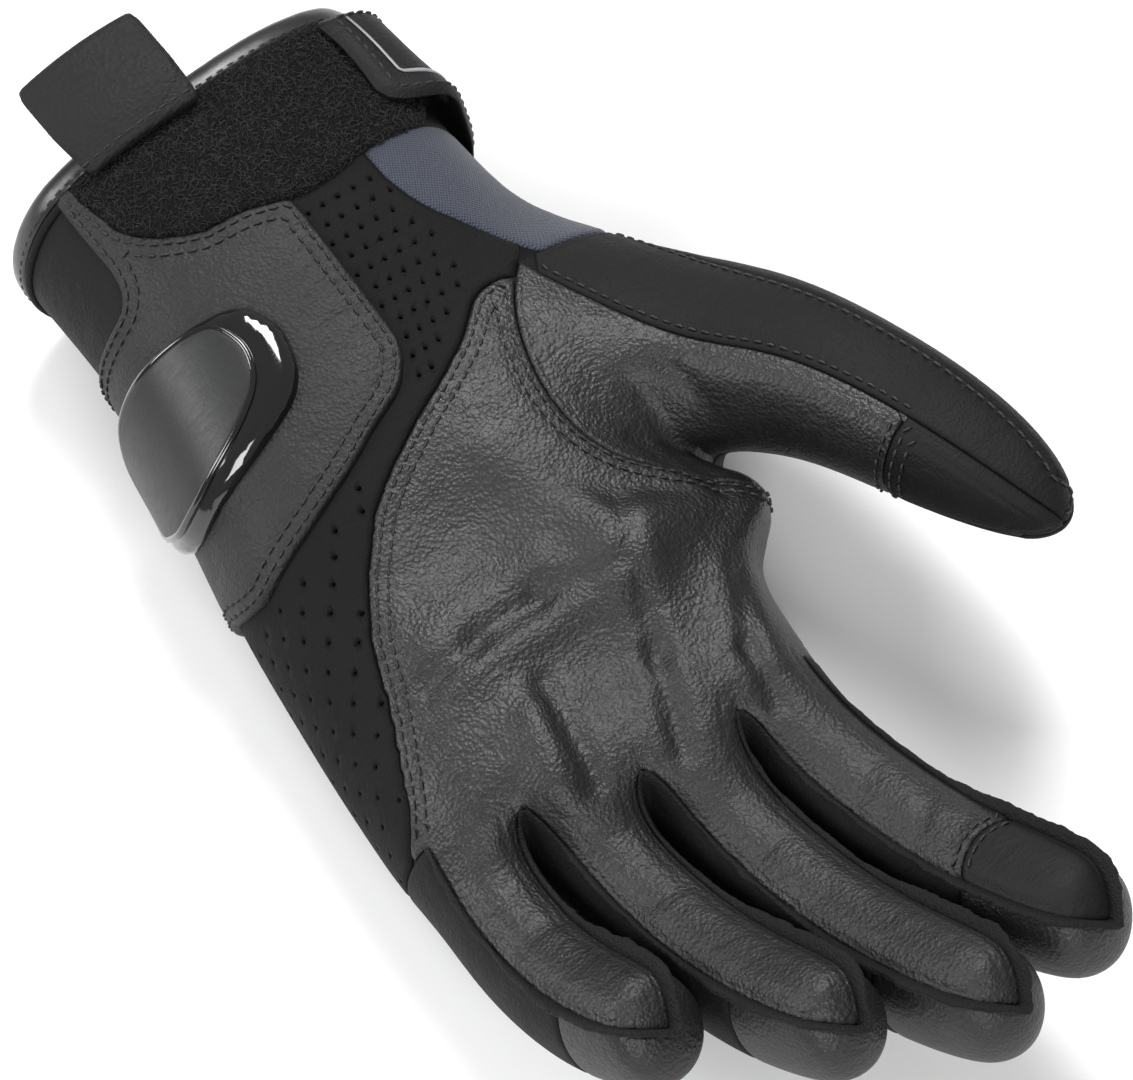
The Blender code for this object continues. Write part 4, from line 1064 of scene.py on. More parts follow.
def flange(name, points, normals, at_tip, seed):
    steps = np.linalg.norm(np.diff(points, axis=0), axis=1)
    run = np.concatenate([[0.0], np.cumsum(steps)])
    marked = run[np.array(at_tip)]
    first_tip, last_tip = marked.min(), marked.max()
    count = max(12, int(run[-1] / 0.0008))
    places = np.linspace(0, run[-1], count)
    spots = np.array([np.interp(places, run, points[:, k]) for k in range(3)]).T
    ways = np.array([np.interp(places, run, normals[:, k]) for k in range(3)]).T
    ways /= np.linalg.norm(ways, axis=1)[:, None]
    for _ in range(3):
        spots[1:-1] = (spots[:-2] + 2 * spots[1:-1] + spots[2:]) / 4
    ahead = np.gradient(spots, axis=0)
    ahead /= np.linalg.norm(ahead, axis=1)[:, None]
    rough = np.random.default_rng(seed + 5)
    uneven = np.convolve(rough.normal(0, 1, count + 4), np.ones(5) / 5, "valid")
    vertices = []
    profile = [
        (-0.5, -0.25), (-0.5, 0.35), (-0.48, 0.8), (-0.25, 1.0),
        (0.2, 1.02), (0.46, 0.85), (0.5, 0.4), (0.5, -0.25),
    ]
    for k in range(count):
        t = k / (count - 1)
        taper = min(1.0, 8 * t, 8 * (1 - t)) ** 0.5
        apart = max(first_tip - places[k], places[k] - last_tip, 0.0)
        full = SIDE_FLANGE + (1 - SIDE_FLANGE) * math.exp(-(apart / 0.010) ** 2)
        side = np.cross(ways[k], ahead[k])
        height = FLANGE_HEIGHT * taper * full * (1 + 0.16 * uneven[k])
        for across, rise in profile:
            point = spots[k] + side * across * FLANGE_WIDTH * (0.5 + 0.5 * full) + ways[k] * rise * height
            point = point + side * 0.00035 * uneven[k] * rise
            vertices.append(point)
    thing = make(name, vertices, tube_faces(count, len(profile), False), ["raw_edge"])
    place_on(thing, slot="palm_leather")


def build_layers(shell):
    """The heel patch, the loop field and the palm slider on the hand's surface."""
    base = (PALM_SIDE, ULNAR_UPPER, ULNAR_LOWER, STRETCH_UPPER, CUFF, PERFORATED)
    keep = faces_with(shell, *base)
    inside, patch_tag, loop_tag = 100, 101, 102
    flat = Shell(shell.points, [shell.faces[f] for f in keep], np.full(len(keep), inside), shell.normals)

    def cut_out(source, outline, tags, new_tag):
        parted = triangles_of(split_along(source, outline, tags, new_tag, closed=True))
        return parted, owners_of(parted)

    sunk = -LAYER_SINK
    parted, owners = cut_out(flat, LOOP_OUTLINE, (inside,), patch_tag)
    field = faces_with(parted, inside)
    thing = dress("loop_pile", parted, owners, field, "loop_fabric", sunk, LOOP_THICKNESS, 0.0016, 0.0012)
    place_on(thing, "loop_field", slot="loop_fabric")
    fuzz(thing)
    parted, owners = cut_out(parted, PATCH_OUTLINE, (patch_tag,), loop_tag)
    rows = [Seam((0.0018, 0.0042), (loop_tag, inside), 0.0)]
    patch_high = SEAM_GAP + PATCH_THICKNESS
    patch = faces_with(parted, patch_tag)
    thing = dress("heel_patch_leather", parted, owners, patch, "patch_leather", sunk, patch_high, 0.0013,
                  patch_high, rows)
    place_on(thing, "heel_patch", slot="palm_leather")
    outlined, owners = cut_out(flat, SLIDER_OUTLINE, (inside,), patch_tag)
    slider_high = patch_high + SLIDER_HEIGHT
    gloss = "slider_plastic"
    thing = dress("slider_shell", outlined, owners, faces_with(outlined, inside), gloss, patch_high - 0.0006,
                  slider_high, 0.0046, SLIDER_HEIGHT * 0.98, (), gloss)
    place_on(thing, "slider_base", slot=gloss)
    inlaid, owners = cut_out(flat, INLAY_OUTLINE, (inside,), patch_tag)
    plate = faces_with(inlaid, inside)
    rubber = "inlay_rubber"
    thing = dress("slider_plate", inlaid, owners, plate, rubber, slider_high - 0.0008, slider_high + 0.0007,
                  0.0007, 0.0007, (), rubber)
    place_on(thing, "slider_inlay", slot=rubber)
    rim_line(inlaid, owners, plate, slider_high)


def rim_line(shell, owners, chosen, height):
    """The fine glossy ridge round the slider's matte plate."""
    border = Border(shell, chosen, owners)
    onward = dict(border.edges)
    start = border.edges[0][0]
    loop = [start]
    while onward[loop[-1]] != start:
        loop.append(onward[loop[-1]])
    points, normals = shell.points[loop], shell.normals[loop]
    for _ in range(4):
        points = (np.roll(points, 1, axis=0) + 2 * points + np.roll(points, -1, axis=0)) / 4
        normals = (np.roll(normals, 1, axis=0) + 2 * normals + np.roll(normals, -1, axis=0)) / 4
    angles = np.linspace(0, 2 * math.pi, 9)[:-1]
    circle = [(math.cos(a) * RIDGE_RADIUS, math.sin(a) * RIDGE_RADIUS) for a in angles]
    line = points + normals * (height + 0.0002)
    thing = ring_sweep("slider_ridge", line, normals, circle, "slider_plastic")
    place_on(thing, slot="slider_plastic")


def ring_sweep(name, points, normals, profile, finish):
    """A closed tube: the profile's (across, up) round a closed line."""
    ahead = np.roll(points, -1, axis=0) - np.roll(points, 1, axis=0)
    ahead /= np.linalg.norm(ahead, axis=1)[:, None]
    side = np.cross(ahead, normals)
    side /= np.linalg.norm(side, axis=1)[:, None]
    vertices = []
    for k in range(len(points)):
        for across, up in profile:
            vertices.append(points[k] + side[k] * across + normals[k] * up)
    return make(name, vertices, tube_faces(len(points), len(profile), True), [finish])


def tube_faces(count, sides, closed):
    """Faces of a swept profile: a closed ring of sections, or a run with an end at each side."""
    faces = []
    for k in range(count if closed else count - 1):
        n = (k + 1) % count
        for s in range(sides):
            q = (s + 1) % sides
            faces.append((k * sides + s, k * sides + q, n * sides + q, n * sides + s))
    if not closed:
        faces.append(list(reversed(range(sides))))
        faces.append([(count - 1) * sides + s for s in range(sides)])
    return faces


def fuzz(field):
    """Short curled fibres over the loop field."""
    mesh = field.data
    rough = np.random.default_rng(11)
    tops = [p for p in mesh.polygons if p.material_index == 0 and p.area > 1e-9]
    areas = np.array([p.area for p in tops])
    picks = rough.choice(len(tops), FIBRE_COUNT, p=areas / areas.sum())
    vertices, faces = [], []
    for pick in picks:
        face = tops[pick]
        corners = [np.array(mesh.vertices[v].co) - SHIFT for v in face.vertices[:3]]
        r1, r2 = rough.random(2)
        spread = math.sqrt(r1)
        root = corners[0] * (1 - spread) + corners[1] * spread * (1 - r2) + corners[2] * spread * r2
        normal = np.array(face.normal)
        lean = rough.normal(0, 1, 3)
        lean -= normal * (lean @ normal)
        lean /= np.linalg.norm(lean)
        side = np.cross(normal, lean)
        reach = rough.uniform(0.0005, 0.0012)
        rise = rough.uniform(0.0003, 0.0008)
        thick = rough.uniform(0.00005, 0.00009)
        first = len(vertices)
        curl = rough.uniform(-0.6, 0.6)
        for q in range(5):
            t = q / 4
            centre = root + lean * reach * (t - 0.5) * 2 + side * reach * curl * math.sin(math.pi * t)
            centre = centre + normal * (rise * math.sin(math.pi * t) - 0.0001)
            for k in range(3):
                angle = 2 * math.pi * k / 3
                vertices.append(centre + (side * math.cos(angle) + normal * math.sin(angle)) * thick)
        for q in range(4):
            for k in range(3):
                n = (k + 1) % 3
                a = first + q * 3
                faces.append((a + k, a + n, a + 3 + n, a + 3 + k))
    place_on(make("loop_fibres", vertices, faces, ["fibre"]), slot="loop_fabric")


def build_rim(shell):
    """The rounded binding round the rim, its welt and its stitches."""
    directed = set()
    for ring in shell.faces:
        directed.update(zip(ring, ring[1:] + ring[:1]))
    following = {a: b for a, b in directed if (b, a) not in directed}
    start = min(following)
    loop = [start]
    while following[loop[-1]] != start:
        loop.append(following[loop[-1]])
    normals = shell.normals[loop].copy()
    normals[:, 1] = 0.0
    normals /= np.linalg.norm(normals, axis=1)[:, None]
    points = shell.points[loop]
    half = BINDING_THICKNESS / 2
    middle = -LEATHER_THICKNESS / 2
    rough = np.random.default_rng(3)
    wave = np.convolve(rough.normal(0, 1, len(loop) + 8), np.ones(9) / 9, "valid")
    profile = [
        (-0.05, 0.55), (-0.02, 0.86), (0.12, 1.0), (0.45, 1.04), (0.72, 0.93), (0.90, 0.68), (1.0, 0.3),
        (1.02, 0.0), (1.0, -0.3), (0.90, -0.68), (0.72, -0.93), (0.45, -1.0), (0.12, -0.95), (-0.05, -0.8),
    ]
    vertices = []
    for k in range(len(loop)):
        for forward, out in profile:
            swollen = half * out * (1 + 0.05 * wave[k])
            point = points[k] + normals[k] * (middle + swollen)
            point[1] -= forward * BINDING_WIDTH * (1 + 0.03 * wave[k])
            point[2] = max(point[2], 0.0)
            vertices.append(point)
    faces = tube_faces(len(loop), len(profile), True)
    piece = make("rim_binding", vertices, faces, ["binding_vinyl"])
    outward(piece)
    place_on(piece, "cuff_binding", slot="binding_vinyl")
    welt = []
    for k in range(len(loop)):
        point = points[k] + normals[k] * 0.0003
        point[1] += 0.0014
        welt.append(point)
    welt = np.array(welt)
    circle = [(math.cos(a) * 0.0010, math.sin(a) * 0.0008) for a in np.linspace(0, 2 * math.pi, 9)[:-1]]
    piece = ring_sweep("rim_welt", welt, normals, circle, "matte_leather")
    for v in piece.data.vertices:
        v.co.z = max(v.co.z, 0.0)
    outward(piece)
    place_on(piece, slot="matte_leather")
    line = points + normals * (middle + half * 0.93)
    line = line - np.array([0.0, 0.16 * BINDING_WIDTH, 0.0])
    sew(line, normals, [0] * len(line), None, 0.0)


def build_tab(surface):
    """The folded leather loop that stands out over the rim."""
    width = math.degrees(TAB_WIDTH / 2 / (HAND_DEPTH * 0.58))
    turns = np.linspace(TAB_TURN - width, TAB_TURN + width, 17)
    base = 2 * SEAM_GAP + LOOP_THICKNESS
    over = base + BINDING_THICKNESS / 2
    root = TAB_ROOT * HAND_LENGTH
    fold_y = surface.rim - BINDING_WIDTH - TAB_REACH
    ledge = surface.rim - BINDING_WIDTH
    thick = TAB_THICKNESS
    tall = 2 * thick + 0.0006
    outer = [(root, base, base + 0.9 * tall), (root - 0.002, base, base + tall)]
    for t in np.linspace(0.12, 0.95, 9):
        y = root - 0.002 + (fold_y + 0.001 - root + 0.002) * t
        lift = min(1.0, max(0.0, (root - y) / (root - ledge)))
        low = base + (over - base) * lift
        outer.append((y, low, low + tall))
    end = outer[-1]
    profile = [(y, high) for y, low, high in outer]
    for angle in np.linspace(80, -80, 7):
        radians = math.radians(angle)
        profile.append((end[0] - math.cos(radians) * tall * 0.75 - 0.0006,
                        (end[1] + end[2]) / 2 + math.sin(radians) * tall / 2))
    profile += [(y, low) for y, low, high in reversed(outer)]
    vertices = []
    last = len(turns) - 1
    for k, turn in enumerate(turns):
        edge = min(k, last - k) / last
        slim = 1.0 - 0.28 * max(0.0, 1 - edge * 14)
        for y, height in profile:
            middle = base + tall / 2 if y > ledge else over + tall / 2
            bow = 0.0006 * math.sin(k / last * math.pi) * (root - y) / (root - fold_y)
            vertices.append(surface.at(turn, y, middle + (height - middle) * slim + bow))
    faces = tube_faces(len(turns), len(profile), False)
    piece = make("pull_tab_leather", [np.array(v) for v in vertices], faces, ["tab_leather"])
    outward(piece)
    smooth_more(piece, 1)
    place_on(piece, "pull_tab", slot="matte_leather")
    line, ways = [], []
    for turn in np.linspace(turns[0] + 2, turns[-1] - 2, 20):
        spot = surface.at(turn, root - TAB_STITCH_INSET, base + tall + 0.0001)
        line.append(np.array(spot))
        ways.append(np.array(surface.ray(turn)))
    sew(np.array(line), np.array(ways), [0] * len(line), None, 0.0)


def smooth_more(thing, levels):
    """Apply one more round of smoothing subdivision."""
    change = thing.modifiers.new("smooth", "SUBSURF")
    change.levels = levels
    change.render_levels = levels
    result = thing.evaluated_get(bpy.context.evaluated_depsgraph_get())
    cleaned = bpy.data.meshes.new_from_object(result)
    thing.modifiers.clear()
    thing.data = cleaned


def build_strap(surface):
    """The closure strap from the back round the thumb side, its flap end and its trim line."""
    start, end = STRAP_TURNS
    hook = LOOP_THICKNESS + HOOK_THICKNESS
    middle = STRAP_ALONG * HAND_LENGTH
    half = STRAP_WIDTH / 2

    def spot(t, s, rise):
        """t runs from the flap's end to the back, s across the strap from the rim."""
        turn = start + (end - start) * t + 3.0
        if t < 0.16:
            rounding = math.sqrt(max(0.0, 1 - (1 - t / 0.16) ** 2))
        else:
            rounding = 1.0
        low = middle - half * (1.02 - 0.06 * (1 - rounding))
        high = middle + half * (0.70 + 0.30 * min(1.0, t * 1.6)) * (0.55 + 0.45 * rounding)
        y = low + (high - low) * s
        lift = hook + 0.0030 * math.exp(-((t - 0.22) / 0.16) ** 2) * (0.4 + s)
        lift += 0.0005 * math.sin(9 * t + 4 * s)
        return np.array(surface.at(turn, y, lift + rise))

    def layer(k, r, columns, rows, upper):
        t, s = k / (columns - 1), r / (rows - 1)
        near = min(s, 1 - s) * STRAP_WIDTH
        near = min(near, t * 0.045)
        share = max(0.0, 1 - near / 0.0016)
        rounded = STRAP_THICKNESS * (1 - 0.8 * (1 - math.sqrt(1 - share ** 2 * 0.999)))
        return spot(t, s, rounded if upper else 0.0)

    piece = slab("strap_leather", 46, 15, layer, "strap_leather")
    place_on(piece, "closure_strap", slot="matte_leather")
    trim, ways = [], []
    for q in range(40):
        u = q / 39
        if u < 0.45:
            t, s = 0.085 + 0.02 * u, 0.10 + 0.66 * u / 0.45
        else:
            t, s = 0.094 + (u - 0.45) * 1.0, 0.76 + 0.06 * math.sin((u - 0.45) * 3)
        trim.append(spot(t, s, STRAP_THICKNESS + 0.0001))
        ways.append(np.array(surface.ray(start + (end - start) * t + 3.0)))
    piece = ribbon("strap_trim_line", np.array(trim), np.array(ways), 0.0011, 0.0003, "silver_line")
    place_on(piece, slot="matte_leather")
    lines = [[(0.045, 0.08 + 0.8 * u) for u in np.linspace(0, 1, 16)],
             [(0.05 + 0.9 * u, 0.92) for u in np.linspace(0, 1, 40)],
             [(0.05 + 0.9 * u, 0.06) for u in np.linspace(0, 1, 40)]]
    for line in lines:
        spots = np.array([spot(t, s, STRAP_THICKNESS) for t, s in line])
        ways = np.array([np.array(surface.ray(start + (end - start) * t + 3.0)) for t, s in line])
        sew(spots, ways, [0] * len(line), None, 0.0)
    build_hook_tape(spot)


def build_hook_tape(spot):
    """The hook tape under the strap's end."""

    def layer(k, r, columns, rows, upper):
        t, s = 0.03 + 0.30 * k / (columns - 1), 0.06 + 0.84 * r / (rows - 1)
        return spot(t, s, -TAPE_CLEARANCE if upper else -HOOK_THICKNESS - TAPE_CLEARANCE)

    piece = slab("hook_tape", 14, 8, layer, "hook_tape")
    place_on(piece, "hook_patch", slot="hook_tape")


def slab(name, columns, rows, layer, finish):
    """A closed sheet of even rows: layer gives the place of each point above and below."""
    vertices, faces = [], []
    for upper in (True, False):
        for k in range(columns):
            for r in range(rows):
                vertices.append(layer(k, r, columns, rows, upper))
    size = columns * rows
    for k in range(columns - 1):
        for r in range(rows - 1):
            a = k * rows + r
            faces.append((a, a + rows, a + rows + 1, a + 1))
            faces.append((size + a, size + a + 1, size + a + rows + 1, size + a + rows))
    edge = [k * rows for k in range(columns)]
    edge += [(columns - 1) * rows + r for r in range(1, rows)]
    edge += [k * rows + rows - 1 for k in reversed(range(columns - 1))]
    edge += [r for r in reversed(range(1, rows - 1))]
    for a, b in zip(edge, edge[1:] + edge[:1]):
        faces.append((a, b, size + b, size + a))
    piece = make(name, vertices, faces, [finish])
    outward(piece)
    return piece


def ribbon(name, points, normals, width, thick, finish):
    """A low rounded line lying on the leather."""
    ahead = np.gradient(points, axis=0)
    ahead /= np.linalg.norm(ahead, axis=1)[:, None]
    side = np.cross(ahead, normals)
    side /= np.linalg.norm(side, axis=1)[:, None]
    profile = [(-0.5, -0.3), (-0.4, 0.6), (0.0, 1.0), (0.4, 0.6), (0.5, -0.3)]
    vertices = []
    for k in range(len(points)):
        for across, up in profile:
            vertices.append(points[k] + side[k] * across * width + normals[k] * up * thick)
    piece = make(name, vertices, tube_faces(len(points), len(profile), False), [finish])
    outward(piece)
    return piece


def pierce(side, surface):
    """Cut the small round holes through the perforated leather."""
    tools = []
    step = HOLE_STEP * 0.87
    for r in range(int(HAND_LENGTH * 0.75 / step)):
        y = HAND_LENGTH * 0.215 + r * step
        for c in range(-12, 34):
            turn = math.degrees((c + 0.5 * (r % 2)) * HOLE_STEP / (HAND_DEPTH * 0.72))
            if hole_fits(turn, y):
                tools.append((turn, y))
    vertices, faces = [], []
    sides = 8
    for turn, y in tools:
        way = surface.ray(turn)
        foot = surface.at(turn, y)
        ahead = Vector((0.0, 1.0, 0.0))
        across = way.cross(ahead)
        first = len(vertices)
        for height in (-0.003, 0.0015):
            for k in range(sides):
                angle = 2 * math.pi * k / sides
                spoke = across * math.cos(angle) + ahead * math.sin(angle)
                vertices.append(np.array(foot + way * height + spoke * HOLE_SIZE / 2))
        faces.append([first + k for k in range(sides)])
        faces.append([first + 2 * sides - 1 - k for k in range(sides)])
        for k in range(sides):
            q = (k + 1) % sides
            faces.append([first + k, first + sides + k, first + sides + q, first + q])
    cutter = make("hole_cutter", vertices, faces, ["lining"])
    outward(cutter)
    cut(side, cutter)


def hole_fits(turn, y):
    """Whether a hole lies on the bare perforated leather, clear of its seams and the patch."""
    if turn > 103 or turn < -40:
        return False
    if y > height_at(PALM_SEAM, turn) - 0.0032:
        return False
    if turn < 0:
        stretch = float(np.interp(turn, [-56, -42, -36, -34], [0.385, 0.320, 0.262, 0.16])) * HAND_LENGTH
        if turn < -34 and y < stretch + 0.004:
            return False
        return y > LOOP_OUTLINE[5].along * HAND_LENGTH + 0.0035
    return y > height_at(PATCH_OUTLINE[2:9], turn) + 0.0030


def height_at(rows, turn):
    turns = [r.turn for r in rows]
    return float(np.interp(turn, turns, [r.along for r in rows])) * HAND_LENGTH


class Nodes:
    """Short names for building a material's nodes."""

    def __init__(self, name):
        self.material = bpy.data.materials.new(name)
        self.material.use_nodes = True
        self.tree = self.material.node_tree
        self.shader = self.tree.nodes["Principled BSDF"]
        self.place = self.add("ShaderNodeTexCoord").outputs["Object"]

    def add(self, kind, **values):
        node = self.tree.nodes.new(kind)
        for key, value in values.items():
            setattr(node, key, value)
        return node

    def link(self, start, end):
        self.tree.links.new(start, end)

    def math(self, operation, a, b=None, c=None):
        node = self.add("ShaderNodeMath", operation=operation)
        for k, value in enumerate((a, b, c)):
            if value is None:
                continue
            if isinstance(value, (int, float)):
                node.inputs[k].default_value = value
            else:
                self.link(value, node.inputs[k])
        return node.outputs[0]

    def noise(self, scale, detail=4.0, rough=0.55, place=None, distortion=0.0):
        node = self.add("ShaderNodeTexNoise")
        node.inputs["Scale"].default_value = scale
        node.inputs["Detail"].default_value = detail
        node.inputs["Roughness"].default_value = rough
        node.inputs["Distortion"].default_value = distortion
        self.link(place or self.place, node.inputs["Vector"])
        return node.outputs["Fac"]

    def cells(self, scale, feature="F1", place=None, smooth=None):
        node = self.add("ShaderNodeTexVoronoi", feature=feature)
        node.inputs["Scale"].default_value = scale
        if smooth is not None and "Smoothness" in node.inputs:
            node.inputs["Smoothness"].default_value = smooth
        self.link(place or self.place, node.inputs["Vector"])
        return node.outputs["Distance"]

    def stretched(self, x, y, z, place=None):
        node = self.add("ShaderNodeMapping")
        node.inputs["Scale"].default_value = (x, y, z)
        self.link(place or self.place, node.inputs["Vector"])
        return node.outputs["Vector"]

    def ramp(self, value, low, high, a, b):
        """Map a value from low..high to a..b."""
        node = self.add("ShaderNodeMapRange")
        node.inputs["From Min"].default_value = low
        node.inputs["From Max"].default_value = high
        node.inputs["To Min"].default_value = a
        node.inputs["To Max"].default_value = b
        self.link(value, node.inputs["Value"])
        return node.outputs["Result"]

    def colours(self, value, *stops):
        node = self.add("ShaderNodeValToRGB")
        ramp = node.color_ramp
        while len(ramp.elements) < len(stops):
            ramp.elements.new(0.5)
        for element, (at, colour) in zip(ramp.elements, stops):
            element.position = at
            element.color = (*colour, 1.0)
        self.link(value, node.inputs["Fac"])
        return node.outputs["Color"]

    def bump(self, height, distance, strength=1.0, before=None):
        node = self.add("ShaderNodeBump")
        node.inputs["Strength"].default_value = strength
        node.inputs["Distance"].default_value = distance
        self.link(height, node.inputs["Height"])
        if before is not None:
            self.link(before, node.inputs["Normal"])
        return node.outputs["Normal"]

    def edge(self):
        node = self.add("ShaderNodeAttribute", attribute_name="edge", attribute_type="GEOMETRY")
        return node.outputs["Fac"]

    def wrap(self):
        return self.add("ShaderNodeUVMap", uv_map="wrap").outputs["UV"]

    def set(self, name, value):
        self.shader.inputs[name].default_value = value


def leather(name, dark, light, rough_low, rough_high, grain, pebble=1.0, shaded_seams=True, specular=0.5):
    """Grained leather: pebbles, fine creases, soft wrinkles, and painted shade that dulls and darkens the
    colour towards the seams.
    """
    n = Nodes(name)
    wander = n.noise(260.0, 3.0)
    shifted = n.add("ShaderNodeVectorMath", operation="MULTIPLY_ADD")
    n.link(wander, shifted.inputs[0])
    shifted.inputs[1].default_value = (0.0006, 0.0006, 0.0006)
    n.link(n.place, shifted.inputs[2])
    place = shifted.outputs["Vector"]
    pebbles = n.cells(1150.0 / pebble, "SMOOTH_F1", place, 0.35)
    fine = n.cells(2600.0 / pebble, "F1", place)
    broad = n.noise(34.0, 4.0, 0.6)
    patches = n.noise(11.0, 3.0, 0.5)
    crease = n.noise(1.0, 5.0, 0.6, n.stretched(95.0, 210.0, 120.0), 0.6)
    height = n.math("MULTIPLY_ADD", pebbles, -0.9, n.math("MULTIPLY", fine, -0.25))
    normal = n.bump(n.math("MULTIPLY", crease, 1.0), 0.0009, 0.55)
    normal = n.bump(broad, 0.0018, 0.45, normal)
    normal = n.bump(height, grain, 0.9, normal)
    n.link(normal, n.shader.inputs["Normal"])
    tone = n.math("MULTIPLY_ADD", broad, 0.6, n.math("MULTIPLY", pebbles, 0.35))
    colour = n.colours(tone, (0.25, dark), (0.75, light))
    if shaded_seams:
        # Painted shade: the colour falls to 0.35 of itself at the seam and comes back to full 1.6 mm away,
        # darkening the groove where the rolled edges dip.
        shade = n.ramp(n.edge(), 0.0, 0.0016, 0.35, 1.0)
        painted_seam_shade = n.add("ShaderNodeVectorMath", operation="SCALE")
        n.link(colour, painted_seam_shade.inputs[0])
        n.link(shade, painted_seam_shade.inputs["Scale"])
        colour = painted_seam_shade.outputs["Vector"]
    n.link(colour, n.shader.inputs["Base Color"])
    worn = n.math("MULTIPLY_ADD", patches, 0.55, n.math("MULTIPLY", broad, 0.45))
    rough = n.ramp(worn, 0.35, 0.65, rough_low, rough_high)
    n.link(n.math("MULTIPLY_ADD", pebbles, 0.12, rough), n.shader.inputs["Roughness"])
    n.set("Specular IOR Level", specular)
    return n.material


def woven(name, dark, light):
    """Woven stretch fabric with fine diagonal threads."""
    n = Nodes(name)
    uv = n.wrap()
    parts = n.add("ShaderNodeSeparateXYZ")
    n.link(uv, parts.inputs[0])
    u, v = parts.outputs[0], parts.outputs[1]
    turns = 2 * math.pi / WEAVE_PITCH
    along = n.math("ADD", u, n.math("MULTIPLY", v, 0.35))
    across = n.math("SUBTRACT", v, n.math("MULTIPLY", u, 0.35))
    warp = n.math("SINE", n.math("MULTIPLY", along, turns))
    weft = n.math("SINE", n.math("MULTIPLY", across, turns))
    weave = n.math("MULTIPLY", warp, weft)
    fibre = n.noise(3200.0, 2.0)
    thread = n.math("MULTIPLY_ADD", fibre, 0.5, n.math("MULTIPLY_ADD", weave, 0.35, 0.35))
    normal = n.bump(thread, 0.00028, 0.9)
    normal = n.bump(n.noise(60.0, 3.0), 0.0012, 0.5, normal)
    n.link(normal, n.shader.inputs["Normal"])
    n.link(n.colours(thread, (0.25, dark), (0.85, light)), n.shader.inputs["Base Color"])
    n.set("Roughness", 0.72)
    n.set("Sheen Weight", 0.25)
    n.set("Sheen Roughness", 0.4)
    return n.material


def pile(name, dark, light):
    n = Nodes(name)
    clumps = n.noise(900.0, 5.0, 0.7)
    tufts = n.cells(1500.0, "F1")
    height = n.math("MULTIPLY_ADD", tufts, -0.8, clumps)
    normal = n.bump(height, 0.0009, 1.0)
    normal = n.bump(n.noise(160.0, 3.0), 0.0012, 0.7, normal)
    n.link(normal, n.shader.inputs["Normal"])
    n.link(n.colours(clumps, (0.35, dark), (0.75, light)), n.shader.inputs["Base Color"])
    n.set("Roughness", 0.95)
    n.set("Specular IOR Level", 0.2)
    return n.material


def smooth_skin(name, dark, light, roughness, wave, specular=0.5, coat=0.0, speckle=0.0):
    """Vinyl, plastic or rubber with faint unevenness and small scratches."""
    n = Nodes(name)
    drift = n.noise(45.0, 3.0)
    fine = n.noise(1400.0, 3.0, 0.6)
    scratch = n.noise(1.0, 4.0, 0.7, n.stretched(180.0, 1500.0, 400.0), 0.3)
    normal = n.bump(drift, wave, 0.6)
    if speckle:
        normal = n.bump(fine, speckle, 0.8, normal)
    n.link(normal, n.shader.inputs["Normal"])
    n.link(n.colours(drift, (0.3, dark), (0.7, light)), n.shader.inputs["Base Color"])
    rough = n.ramp(scratch, 0.4, 0.75, roughness, roughness + 0.10)
    n.link(rough, n.shader.inputs["Roughness"])
    n.set("Specular IOR Level", specular)
    n.set("Coat Weight", coat)
    n.set("Coat Roughness", 0.05)
    return n.material


def thread_finish(name, dark, light):
    n = Nodes(name)
    twist = n.add("ShaderNodeTexWave", wave_type="BANDS", bands_direction="DIAGONAL")
    twist.inputs["Scale"].default_value = 900.0
    twist.inputs["Distortion"].default_value = 1.0
    n.link(n.place, twist.inputs["Vector"])
    n.link(n.bump(twist.outputs["Fac"], 0.0001, 0.7), n.shader.inputs["Normal"])
    n.link(n.colours(twist.outputs["Fac"], (0.2, dark), (0.8, light)), n.shader.inputs["Base Color"])
    n.set("Roughness", 0.55)
    return n.material


MATERIALS = {}


def material(finish):
    if finish not in MATERIALS:
        MATERIALS[finish] = MAKERS[finish]()
    return MATERIALS[finish]


def grained(name, shade, rough, grain, pebble=1.0, shaded_seams=True, specular=0.5):
    """A leather from a dark and a light shade of grey and a low and a high roughness."""
    dark, light = [(s, s * 0.97, s * 0.94) for s in shade]
    return lambda: leather(name, dark, light, rough[0], rough[1], grain, pebble, shaded_seams, specular)


